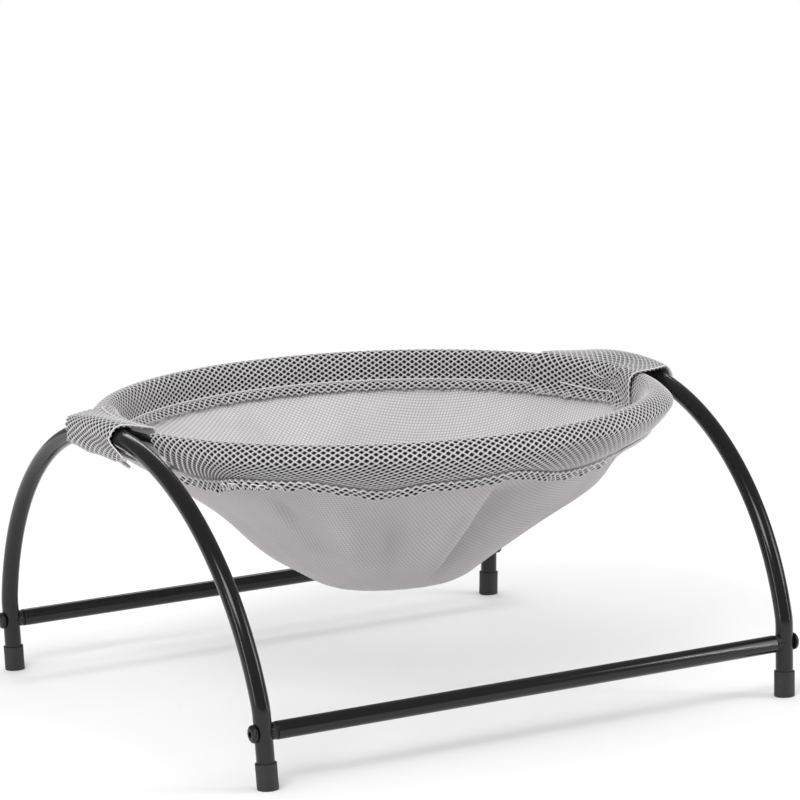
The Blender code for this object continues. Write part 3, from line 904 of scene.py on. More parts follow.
@dataclass
class Net:
    """A staggered net, made flat and then laid over a form.

    Attributes:
        half_x: Half the distance between holes in a row.
        half_y: The distance between rows.
        thickness: How thick the cloth is.
        hole_shares: How much of its tile a hole fills, along X and Y.
        crown: How far a strand's or a dot's top stands out.
        depth: How deep the holes are.
        inner_low: How much painted shade the inner face gets, from 0 to 1.
        rim_share: How wide a hole's rim is, as a share of the distance between rows.
        floor_share: How much narrower than its rim a hole's floor is, as a share of the same.
        sink: How far a strand sinks where the net is pulled askew.
        sunk_low: How much painted shade such a strand gets, from 0 to 1.
    """

    half_x: float = 0.0034
    half_y: float = 0.0021
    thickness: float = 0.0020
    hole_shares: tuple[float, float] = (0.44, 0.60)
    crown: float = 0.00045
    depth: float = 0.0011
    inner_low: float = 0.18
    rim_share: float = 0.2
    floor_share: float = 0.08
    sink: float = 0.0006
    sunk_low: float = 0.42

    def tiles(self, columns: int, rows: int, keep: Keep, cuts: int = 1) -> Work:
        """Makes the net's diamonds.

        Args:
            columns: Diamonds along X.
            rows: Diamonds along Y.
            keep: Says whether the diamond at (x, y) stays.
            cuts: How many points each edge gets between its ends.

        Returns:
            The flat net from (0, 0), one face to a diamond.
        """
        work = bmesh.new()
        bmesh.ops.create_grid(work, x_segments=columns, y_segments=rows, size=0.5)
        bmesh.ops.translate(work, verts=work.verts[:], vec=(0.5, 0.5, 0.0))
        size = (columns * self.half_x * 2.0, rows * self.half_y * 2.0, 1.0)
        bmesh.ops.scale(work, verts=work.verts[:], vec=size)
        cell_edges = [edge for edge in work.edges if len(edge.link_faces) == 2]
        bmesh.ops.poke(work, faces=work.faces[:])
        bmesh.ops.dissolve_edges(work, edges=cell_edges, use_verts=False)
        spare = [face for face in work.faces if len(face.verts) == 3]
        for face in work.faces:
            middle = face.calc_center_median()
            if len(face.verts) == 4 and not keep(middle.x, middle.y):
                spare.append(face)
        bmesh.ops.delete(work, geom=spare, context="FACES")
        if cuts:
            bmesh.ops.bisect_edges(work, edges=work.edges[:], cuts=cuts)
        slack = work.verts.layers.float.new("slack")
        for edge in work.edges:
            run = edge.verts[1].co - edge.verts[0].co
            for vert in edge.verts:
                if len(vert.link_edges) == 2 and run.x * run.y < 0.0:
                    vert[slack] = 1.0
        work.verts.layers.float.new("low")
        work.verts.layers.float.new("lining")
        work.verts.layers.float.new("dent")
        return work

    def shell(self, work: Work) -> list[bmesh.types.BMFace]:
        """Thickens the flat net downwards.

        Args:
            work: The flat net.

        Returns:
            Its upper faces.
        """
        bmesh.ops.recalc_face_normals(work, faces=work.faces[:])
        if sum(face.normal.z for face in work.faces) < 0.0:
            bmesh.ops.reverse_faces(work, faces=work.faces[:])
        bmesh.ops.solidify(work, geom=work.faces[:], thickness=self.thickness)
        top = max(vert.co.z for vert in work.verts)
        bmesh.ops.translate(work, verts=work.verts[:], vec=(0.0, 0.0, -top))
        work.normal_update()
        return [face for face in work.faces if face.normal.z > UPRIGHT]

    def pierce(self, work: Work) -> None:
        """Sinks an oval hole in every diamond.

        Args:
            work: The flat net.
        """
        upper = self.shell(work)
        centres = {face: face.calc_center_median() for face in upper}
        bmesh.ops.inset_individual(work, faces=upper, thickness=self.half_y * self.rim_share, depth=0.0)
        across = self.half_x * self.hole_shares[0]
        along = self.half_y * self.hole_shares[1]
        for face in upper:
            middle = centres[face]
            for vert in face.verts:
                away = vert.co - middle
                bearing = math.atan2(away.y * self.half_x, away.x * self.half_y)
                reach = Vector((across * math.cos(bearing), along * math.sin(bearing), -self.crown))
                vert.co = Vector((middle.x, middle.y, 0.0)) + reach
        floor = {"thickness": self.half_y * self.floor_share, "depth": -(self.depth - self.crown)}
        bmesh.ops.inset_individual(work, faces=upper, **floor)
        # Painted shade: low runs from 0 on a strand's top to 1 at a hole's floor, and the inner face gets a
        # fixed share.
        layer = work.verts.layers.float["low"]
        for vert in work.verts:
            inside = vert.co.z < -0.95 * self.thickness
            vert[layer] = self.inner_low if inside else min(-vert.co.z / self.depth, 1.0)

    def quilt(self, work: Work) -> None:
        """Raises a dot in the middle of every diamond, on both faces of the cloth.

        Args:
            work: The flat net.
        """
        upper = self.shell(work)
        lower = [face for face in work.faces if face.normal.z < -UPRIGHT]
        low = work.verts.layers.float["low"]
        lining = work.verts.layers.float["lining"]
        for vert in work.verts:
            vert[low] = 1.0
            vert[lining] = float(vert.co.z > -self.thickness / 2.0)
        for faces, inner in ((upper, 1.0), (lower, 0.0)):
            for vert in bmesh.ops.poke(work, faces=faces, offset=self.crown)["verts"]:
                vert[low] = 0.0
                vert[lining] = inner

    def sag(self, work: Work, share: Form) -> None:
        """Lets the strands that lean one way sink where the net is pulled askew, with painted shade on them.

        Args:
            work: The pierced net.
            share: Gives from 0 to 1 how much of that each flat X and Y has.
        """
        slack = work.verts.layers.float["slack"]
        low = work.verts.layers.float["low"]
        crests = [vert for vert in work.verts if vert[slack] > 0.5 and vert[low] < 0.01]
        x, y, _ = np.array([vert.co for vert in crests]).T
        for vert, part in zip(crests, share(x, y)):
            vert.co.z -= part * self.sink
            # Painted shade on the sunk strands.
            vert[low] = part * self.sunk_low

    def lay(self, work: Work, form: Form) -> None:
        """Lays the flat net over a form.

        Args:
            work: The flat net, with its relief along Z.
            form: Gives the form's points for flat X and Y.
        """
        x, y, z = np.array([vert.co for vert in work.verts]).T
        for vert, place in zip(work.verts, lifted(form, x, y, z)):
            vert.co = place


@dataclass
class Bowl:
    """The cloth bowl, cut as a disc and darted to hang as a deep dish.

    Attributes:
        hoop: The hoop it hangs in.
        inset: How far its edge is inside the rod's middle.
        drop: How far its edge is below the rod's middle.
        thickness: How thick the cloth is.
        radius_shares: Its side's radii from the middle outwards, as shares of the edge's.
        depth_shares: How deep each of them hangs, as a share of the whole depth.
        rise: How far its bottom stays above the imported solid's.
        dents: Its dents as bearing, width, depth share, reach and depth inwards.
        ripples: Fine waves round its side.
        crease: The bearing of its one sharp fold.
        crease_depth: How deep that fold is.
        crease_edge: Over how many degrees the fold falls.
        crease_fade: Over how many degrees it dies out.
        crease_lip: Its lip's height as a share of the depth, and the lip's place and width.
        lump: How high the cloth's slight lumps are.
    """

    hoop: Hoop
    inset: float = 0.0030
    drop: float = 0.0188
    thickness: float = 0.0018
    radius_shares: tuple[float, ...] = (0.0, 0.13, 0.246, 0.35, 0.447, 0.552, 0.675, 0.80, 0.915, 1.0)
    depth_shares: tuple[float, ...] = (1.0, 0.994, 0.955, 0.862, 0.765, 0.635, 0.462, 0.283, 0.117, 0.0)
    rise: float = 0.0068
    dents: tuple[tuple[float, float, float, float, float], ...] = (
        (216.5, 2.3, 0.26, 0.12, 0.0055),
        (220.0, 4.5, 0.42, 0.20, 0.0030),
        (229.0, 6.0, 0.46, 0.24, -0.0026),
        (245.5, 4.5, 0.50, 0.24, 0.0052),
        (256.0, 6.0, 0.50, 0.26, -0.0022),
        (20.0, 6.0, 0.40, 0.22, 0.0027),
        (75.0, 7.0, 0.40, 0.22, 0.0018),
        (128.0, 6.0, 0.40, 0.22, 0.0024),
        (164.0, 30.0, 0.44, 0.28, 0.0115),
        (315.0, 18.0, 0.37, 0.17, -0.0115),
        (303.0, 24.0, 0.92, 0.10, -0.0060),
    )
    crease: float = 267.6
    crease_depth: float = 0.0100
    crease_edge: float = 0.8
    crease_fade: float = 13.0
    crease_lip: tuple[float, float, float] = (-0.22, -1.6, 1.5)
    ripples: tuple[tuple[float, float, float], ...] = ((0.0003, 23.0, 0.0), (0.00024, 37.0, 50.0))
    lump: float = 0.0006
    edge_radius: float = field(init=False)
    edge_height: float = field(init=False)
    depth: float = field(init=False)
    profile: np.ndarray = field(init=False)
    lengths: np.ndarray = field(init=False)

    def __post_init__(self) -> None:
        """Works out the bowl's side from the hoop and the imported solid."""
        self.edge_radius = self.hoop.radius - self.inset
        self.edge_height = self.hoop.height - self.drop
        self.depth = self.edge_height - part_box("bowl")[0].z - self.rise
        radii = np.array(self.radius_shares) * self.edge_radius
        heights = self.edge_height - np.array(self.depth_shares) * self.depth
        self.profile = spline(np.stack([radii, heights], axis=1), 12)
        self.lengths = run(self.profile)

    def side(self, below: Any) -> np.ndarray:
        """Returns the outer side's (radius, height) this far down from the edge."""
        return read(self.lengths[-1] - np.asarray(below, dtype=float), self.lengths, self.profile)

    def outward(self, below: Any, step: float = 0.004) -> np.ndarray:
        """Finds the direction out of the side.

        Args:
            below: How far down from the edge, along the side.
            step: The distance that the slope is measured over.

        Returns:
            The direction as (radius, height).
        """
        down = self.side(np.asarray(below) + step) - self.side(np.maximum(np.asarray(below) - step, 0.0))
        down /= np.linalg.norm(down, axis=-1, keepdims=True)
        return np.stack([-down[..., 1], down[..., 0]], axis=-1)

    def drawn_in(self, degrees: np.ndarray, height: np.ndarray, widest: float = 360.0) -> np.ndarray:
        """Returns how far the side is drawn in.

        Args:
            degrees: The bearings.
            height: The heights.
            widest: Dents that are wider than this, in degrees, are left out.

        Returns:
            The distance inwards that the dents and the crease make.
        """
        share = (self.edge_height - height) / self.depth
        total = waves(degrees, self.ripples)
        for middle, width, at, reach, depth in self.dents:
            if width <= widest:
                total += depth * bell(turn_away(degrees, middle), 0.0, width) * bell(share, at, reach)
        past = turn_away(degrees, self.crease)
        beyond = np.maximum(past, 0.0)
        step = (1.0 - np.exp(-beyond / self.crease_edge)) * bell(beyond, 0.0, self.crease_fade)
        lip, lip_at, lip_width = self.crease_lip
        fold = step + lip * bell(past, lip_at, lip_width)
        within = smooth((share - 0.10) * 8.0) * (1.0 - smooth((share - 0.66) * 3.4))
        total += self.crease_depth * fold * within
        return total * smooth((share - 0.04) * 9.0)

    def form(self, x: np.ndarray, y: np.ndarray) -> np.ndarray:
        """Hangs points of the flat disc.

        Args:
            x: The flat X.
            y: The flat Y.

        Returns:
            Their places on the bowl's outer face.
        """
        bearing = np.arctan2(y, x)
        radius, height = self.side(self.lengths[-1] - np.hypot(x, y)).T
        radius = radius - self.drawn_in(np.degrees(bearing) % 360.0, height)
        calm = smooth((self.edge_height - height) / self.depth * 4.0 - 0.8)
        lump = self.lump * calm * np.sin(x * 61.0 + 0.7) * np.sin(y * 53.0 + 1.9)
        return around(radius, bearing, height + lump)

    def build(self) -> None:
        """Quilts the cloth and hangs it in the hoop."""
        net = Net(half_x=0.00225, half_y=0.00195, thickness=self.thickness, crown=0.00034)
        reach = self.lengths[-1]
        columns = math.ceil(reach / net.half_x) + 1
        rows = math.ceil(reach / net.half_y) + 1
        centre = Vector((columns * net.half_x, rows * net.half_y, 0.0))
        limit = reach - net.half_x
        work = net.tiles(columns, rows, lambda x, y: math.hypot(x - centre.x, y - centre.y) < limit, 0)
        net.quilt(work)
        bmesh.ops.translate(work, verts=work.verts[:], vec=Vector((0.0, 0.0, self.thickness)) - centre)
        # Painted shade and light: how far the narrow dents and the crease draw each point in, kept for the
        # cloth's colour.
        layer = work.verts.layers.float["dent"]
        x, y, _ = np.array([vert.co for vert in work.verts]).T
        height = self.side(reach - np.hypot(x, y))[:, 1]
        dents = self.drawn_in(np.degrees(np.arctan2(y, x)) % 360.0, height, 10.0) / self.crease_depth
        for vert, dent in zip(work.verts, dents):
            vert[layer] = dent
        net.lay(work, self.form)
        piece = finish_piece("bowl_cloth", work, BOWL_CLOTH, ROUND)
        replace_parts(piece, "bowl")


@dataclass
class Wrap:
    """A piece of open mesh that is knitted flat and laid over a form.

    Attributes:
        node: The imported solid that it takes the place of.
        hoop: The hoop it is sewn round.
        bowl: The bowl it is sewn to.
        thickness: How thick its channel or panel is.
        gap: The clearance to what it goes over.
        net: The net it is knitted as.
        solid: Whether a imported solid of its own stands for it.
        yarn_share: How much of its radius a yarn's middle stands off the mesh.
        table: The form's points, or its (radius, height, lag in degrees) round the hoop.
    """

    node: str
    hoop: Hoop
    bowl: Bowl
    thickness: float = 0.0022
    gap: float = 0.0003
    net: Net = field(default_factory=Net)
    solid: bool = True
    yarn_share: float = 0.4
    table: Table = field(init=False)

    def kept(self, x: float, y: float) -> bool:
        """Says whether the flat mesh's diamond at this place is inside its cut outline."""
        return True

    def askew(self, x: np.ndarray, y: np.ndarray) -> np.ndarray:
        """Returns how far the mesh is pulled askew at these flat places, from 0 to 1."""
        return np.zeros_like(x)

    def size(self) -> tuple[float, float]:
        """Returns the flat mesh's length and width."""
        raise NotImplementedError

    def form(self, x: np.ndarray, y: np.ndarray) -> np.ndarray:
        """Returns where points of the flat mesh lie on the form's middle."""
        raise NotImplementedError

    def thread(
        self,
        name: str,
        points: Sequence[tuple[float, float]],
        radius: float,
        lift: float = 0.0,
        sink: float = 0.0,
    ) -> None:
        """Lays a yarn on the mesh.

        Args:
            name: The yarn's name.
            points: The flat places it passes, as shares of the length and width.
            radius: The yarn's radius.
            lift: How far its middle stands off the mesh.
            sink: How far it is pressed into the mesh.
        """
        x, y = (spline(np.array(points), 14) * np.array(self.size())).T
        arch = np.sin(np.linspace(0.0, math.pi, len(x)))
        away = self.thickness / 2.0 + radius * self.yarn_share - sink + lift * arch
        line = [Vector(spot) for spot in lifted(self.form, x, y, away)]
        finish_piece(name, sweep(line, radius, YARN_SIDES), YARN, ROUND)

    def knit(self, rests_on: Sequence[str], held: str) -> None:
        """Knits the mesh, lays it and puts it in the solid's place.

        Args:
            rests_on: The pieces that carry it. Not used.
            held: How it is held. Not used.
        """
        length, width = self.size()
        columns = round(length / (2.0 * self.net.half_x))
        rows = round(width / (2.0 * self.net.half_y))
        fit = (length / (2.0 * columns * self.net.half_x), width / (2.0 * rows * self.net.half_y), 1.0)
        work = self.net.tiles(columns, rows, lambda x, y: self.kept(x * fit[0], y * fit[1]))
        share = len(work.faces) / (2.0 * columns * rows - columns - rows)
        self.net.pierce(work)
        bmesh.ops.scale(work, verts=work.verts[:], vec=fit)
        self.net.sag(work, self.askew)
        bmesh.ops.translate(work, verts=work.verts[:], vec=(0.0, 0.0, self.thickness / 2.0))
        self.net.lay(work, self.form)
        piece = finish_piece(self.node + "_mesh", work, RIM_MESH, ROUND)
        if self.solid:
            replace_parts(piece, self.node)
        area = length * width * min(share, 1.0)


@dataclass
class Band(Wrap):
    """One channel of open mesh over the hoop, cut along its seam on the bowl's outer side.

    Attributes:
        start: The bearing where it starts, in degrees.
        stop: The bearing where it ends.
        slant: How far its lower edge lags at its start, in degrees.
        bulge_at: The bearing where it is fullest.
        crush_at: The bearing where its low rows crowd together.
        crush: By how much of their pitch they do.
        hem_points: How far down the bowl's side the hem reaches, by bearing.
        hem_width: How far above that the seam runs.
        inner_along: How far below the bowl's edge the inner seam runs.
        shoulder: How far the channel's sides stand from the rod's middle.
        belly: How far its outer side bows out.
        bulge: How much further it does where it is fullest.
        pinch: How far the seam is pressed into the cloth.
        over_rod: Its points round the rod, as shares of the wrap outwards, of the bulge
            outwards and of the wrap upwards.
        places: Places along its section where the pitch of the rows is set.
        pitches: The pitch of the rows there.
        calm_rows: How many rows from the inner seam lie straight.
        creeps: Where the low rows are pulled along, as bearing, width and share.
        rows_fit: How many rows there is room for along the channel.
        row_count: How many rows it is knitted with.
    """

    start: float = 0.0
    stop: float = 0.0
    slant: float = 0.0
    bulge_at: float = 0.0
    crush_at: float = 222.0
    crush: float = 0.34
    hem_points: tuple[tuple[float, float], ...] = ((0.0, 0.0205), (360.0, 0.0205))
    hem_width: float = 0.0135
    inner_along: float = 0.0065
    shoulder: float = 0.0078
    belly: float = 0.0022
    bulge: float = 0.0060
    pinch: float = 0.0004
    over_rod: tuple[tuple[float, float, float], ...] = (
        (1.0, 0.6, 0.40), (0.62, 0.2, 0.90), (0.0, 0.0, 1.02), (-0.62, 0.0, 0.88), (-1.05, 0.0, 0.25),
    )
    places: tuple[float, ...] = (0.0, 2.0, 2.5, 3.0, 4.0, 5.0, 6.4, 8.0, 11.0)
    pitches: tuple[float, ...] = (0.0021, 0.0021, 0.0021, 0.0021, 0.0019, 0.0020, 0.0024, 0.0021, 0.0020)
    calm_rows: float = 22.0
    creeps: tuple[tuple[float, float, float], ...] = ((222.0, 30.0, 0.55), (303.0, 24.0, 0.45))
    rows_fit: np.ndarray = field(init=False)
    row_count: int = field(init=False)

    def __post_init__(self) -> None:
        """Tabulates the channel's middle line from end to end."""
        shares = np.linspace(0.0, 1.0, 400)
        degrees = lerp(self.start, self.stop, shares)
        self.table = Table(self.by_row(self.sections(degrees, shares), degrees))

    def hem_along(self, degrees: np.ndarray) -> np.ndarray:
        """Finds how far down the bowl's side the outer hem reaches.

        Args:
            degrees: The bearings.

        Returns:
            The distances from the bowl's edge, along its side.
        """
        bearings, reaches = zip(*self.hem_points)
        wide = np.linspace(-6.0, 6.0, 9)
        weights = bell(wide, 0.0, 3.0)
        hems = [np.interp(degrees + step, bearings, reaches) * weight for step, weight in zip(wide, weights)]
        return np.sum(hems, axis=0) / weights.sum()

    def seam_along(self, degrees: np.ndarray) -> np.ndarray:
        """Returns how far down the bowl's side the outer seam runs at these bearings."""
        return np.maximum(self.hem_along(degrees) - self.hem_width, 0.0)

    def on_side(self, degrees: np.ndarray, below: Any, out: float) -> np.ndarray:
        """Finds points near the bowl's side.

        Args:
            degrees: Their bearings.
            below: How far down the side they are.
            out: How far off it they are.

        Returns:
            The points as (radius, height).
        """
        down = below + np.zeros_like(degrees)
        spot = self.bowl.side(down) + self.bowl.outward(down) * out
        spot[:, 0] -= self.bowl.drawn_in(degrees % 360.0, spot[:, 1])
        return spot

    def sections(self, degrees: np.ndarray, shares: np.ndarray) -> np.ndarray:
        """Returns the middle line's points at these bearings.

        Args:
            degrees: The bearings.
            shares: How far along the channel each one is.

        Returns:
            An array of shape (count, points, 3) of (radius, height, lag in degrees).
        """
        hug = self.gap + self.thickness / 2.0
        wrap = self.hoop.rod + hug
        rod = np.array([self.hoop.radius, self.hoop.height])
        swell = self.bulge * bell(turn_away(degrees, self.bulge_at), 0.0, 16.0)
        still = np.zeros_like(degrees)

        def near_rod(right: Any, up: Any) -> np.ndarray:
            """Returns the point at these distances from the rod's centre, at every bearing."""
            return np.stack([rod[0] + right + still, rod[1] + up + still], axis=1)

        seam = self.on_side(degrees, self.seam_along(degrees), hug - self.pinch)
        outer_high = near_rod(self.shoulder + swell, -wrap * 0.7)
        out = np.array([0.8, -0.6]) * self.belly
        inner_high = near_rod(-self.shoulder, -wrap * 0.7)
        inner_seam = self.on_side(degrees, self.inner_along, -(hug + self.bowl.thickness))
        line = [
            seam,
            lerp(seam, outer_high, 0.30) + out,
            lerp(seam, outer_high, 0.66) + out,
            outer_high,
            *(near_rod(wrap * right + swell * full, wrap * up) for right, full, up in self.over_rod),
            inner_high,
            lerp(inner_high, inner_seam, 0.55),
            inner_seam,
        ]
        found = np.stack(line, axis=1)
        low = 1.0 - smooth(np.arange(len(line)) / 5.0)
        lag = self.slant * low[None, :] * (1.0 - smooth(shares / 0.16))[:, None]
        return np.concatenate([found, lag[:, :, None]], axis=2)

    def by_row(self, sections: np.ndarray, degrees: np.ndarray) -> np.ndarray:
        """Reads the sections at even steps of the net's rows, counted from the inner seam.

        Args:
            sections: The middle line's points at each bearing.
            degrees: The bearings.

        Returns:
            An array of shape (count, rows, 3).
        """
        between = 12
        fine = spline(sections, between)[:, ::-1]
        place = (np.arange(fine.shape[1] - 1)[::-1] + 0.5) / between
        steps = np.linalg.norm(np.diff(fine[:, :, :2], axis=1), axis=2)
        crushed = self.crush * bell(turn_away(degrees, self.crush_at), 0.0, 24.0)[:, None]
        pitch = np.interp(place, self.places, self.pitches) * (1.0 - crushed * (1.0 - smooth(place - 1.8)))
        rows = np.concatenate([np.zeros((len(fine), 1)), np.cumsum(steps / pitch, axis=1)], axis=1)
        self.rows_fit = rows[:, -1]
        self.row_count = 2 * math.ceil(self.rows_fit.max() / 2.0)
        wanted = np.linspace(self.row_count, 0.0, 400)
        return np.array([read(wanted, row, section) for section, row in zip(fine, rows)])

    def size(self) -> tuple[float, float]:
        """Returns the flat mesh's length and width."""
        length = math.radians(self.stop - self.start) * (self.hoop.radius + self.shoulder)
        return length, self.row_count * self.net.half_y

    def crept(self, x: np.ndarray, y: np.ndarray) -> np.ndarray:
        """Pulls the low rows along the channel.

        Args:
            x: The flat X.
            y: The flat Y.

        Returns:
            Where along the flat mesh the points come to lie.
        """
        length, width = self.size()
        bearing = lerp(self.start, self.stop, x / length)
        low = np.maximum(width - y - self.calm_rows * self.net.half_y, 0.0)
        pull = sum(share * bell(turn_away(bearing, at), 0.0, wide) for at, wide, share in self.creeps)
        return x - pull * low * smooth(np.minimum(x, length - x) / 0.05)

    def askew(self, x: np.ndarray, y: np.ndarray) -> np.ndarray:
        """Finds where the mesh is pulled askew.

        Args:
            x: The flat X.
            y: The flat Y.

        Returns:
            How much it is, from 0 to 1.
        """
        length, width = self.size()
        bearing = lerp(self.start, self.stop, x / length)
        low = smooth((width / self.net.half_y - y / self.net.half_y - self.calm_rows + 1.0) / 3.0)
        near = sum(bell(turn_away(bearing, at), 0.0, wide) for at, wide, _ in self.creeps)
        return low * smooth(near * 1.4)

    def kept(self, x: float, y: float) -> bool:
        """Says whether a diamond of the flat mesh is above the seam.

        Args:
            x: The flat X.
            y: The flat Y.

        Returns:
            Whether it stays.
        """
        length, width = self.size()
        share = float(self.crept(np.array(x), np.array(y))) / length
        fits = np.interp(share, np.linspace(0.0, 1.0, len(self.rows_fit)), self.rows_fit)
        return (width - y) / self.net.half_y + 0.8 <= fits

    def form(self, x: np.ndarray, y: np.ndarray) -> np.ndarray:
        """Returns where points of the flat mesh lie on the channel's middle."""
        along, across = self.crept(x, y) / self.size()[0], y / self.size()[1]
        return on_ring(self.table.at(along, across), lerp(self.start, self.stop, along))


@dataclass
class Tape(Wrap):
    """The coarser tape that binds a channel's edge: free below the outer seam, flat on the inner side.

    Attributes:
        band: The channel it binds.
        inner: Whether it lies on the bowl's inner side.
        overlap: How far above the seam its top is.
        reach: How wide it is.
        stand: How far its free edge stands off the bowl.
        flare: How much further it does where it flares.
        flare_at: The bearing of that place.
        tuck_from: The bearing from where it is tucked against the bowl.
        flutter: How far its free edge flutters in and out.
        wave: How far that edge waves up and down.
        waving: The waves of that edge.
    """

    band: Band | None = None
    inner: bool = False
    solid: bool = False
    overlap: float = 0.0040
    reach: float = 0.0106
    stand: float = 0.0036
    flare: float = 0.0034
    flare_at: float = 204.0
    tuck_from: float = 296.0
    flutter: float = 0.0007
    wave: float = 0.0006
    waving: tuple[tuple[float, float, float], ...] = ((1.0, 41.0, 0.0), (0.6, 73.0, 20.0))

    def __post_init__(self) -> None:
        """Tabulates the tape's middle from end to end."""
        band = self.band
        shares = np.linspace(0.0, 1.0, 500)
        degrees = lerp(band.start, band.stop, shares)
        hug = self.gap + self.thickness / 2.0
        drop = self.reach + self.wave * waves(degrees, self.waving)
        stops = np.linspace(0.0, 1.0, 5)
        lag = np.zeros((len(shares), len(stops), 1))
        if self.inner:
            out = -(hug + self.thickness + self.gap + self.bowl.thickness)
            first = band.inner_along - self.overlap
            line = [band.on_side(degrees, first + drop * stop, out) for stop in stops]
        else:
            top, slid = self.on_channel(shares)
            lag += 0.8 * slid[:, None, None]
            tucked = smooth((degrees - self.tuck_from) / 14.0)
            drift = 1.3 * np.sin(np.radians(degrees * 11.0))
            loose = self.flutter * np.sin(np.radians(degrees * 57.0 + 40.0) + drift)
            below = band.seam_along(degrees) + (drop - self.overlap) * lerp(1.0, 0.7, tucked)
            stand = self.stand + self.flare * bell(degrees, self.flare_at, 15.0) + loose
            off = (hug + stand * (1.0 - tucked))[:, None]
            low = band.on_side(degrees, below, off)
            line = [lerp(low, top, stop) for stop in stops]
        self.table = Table(np.concatenate([np.stack(line, axis=1), lag], axis=2))

    def on_channel(self, shares: np.ndarray) -> tuple[np.ndarray, np.ndarray]:
        """Finds where the tape is sewn to the channel, just off its face.

        Args:
            shares: How far along the channel.

        Returns:
            The places as (radius, height), and their lag in degrees.
        """
        places = []
        for share in shares:
            line = self.band.table.at(np.full(240, share), np.linspace(0.0, 1.0, 240))
            near = self.overlap + np.array([-0.0006, 0.0006])
            low, high = read(near, run(line[:, :2]), line)
            ahead = (high - low)[:2] / np.linalg.norm((high - low)[:2])
            away = np.array([ahead[1], -ahead[0], 0.0]) * (self.thickness + self.gap)
            places.append((low + high) / 2.0 + away)
        found = np.array(places)
        return found[:, :2], found[:, 2]

    def size(self) -> tuple[float, float]:
        """Returns the flat tape's length and width."""
        middle = self.table.values[:, 2, 0].mean()
        return math.radians(self.band.stop - self.band.start) * float(middle), self.reach

    def form(self, x: np.ndarray, y: np.ndarray) -> np.ndarray:
        """Returns where points of the flat tape lie on its middle."""
        along, across = x / self.size()[0], y / self.size()[1]
        return on_ring(self.table.at(along, across), lerp(self.band.start, self.band.stop, along))


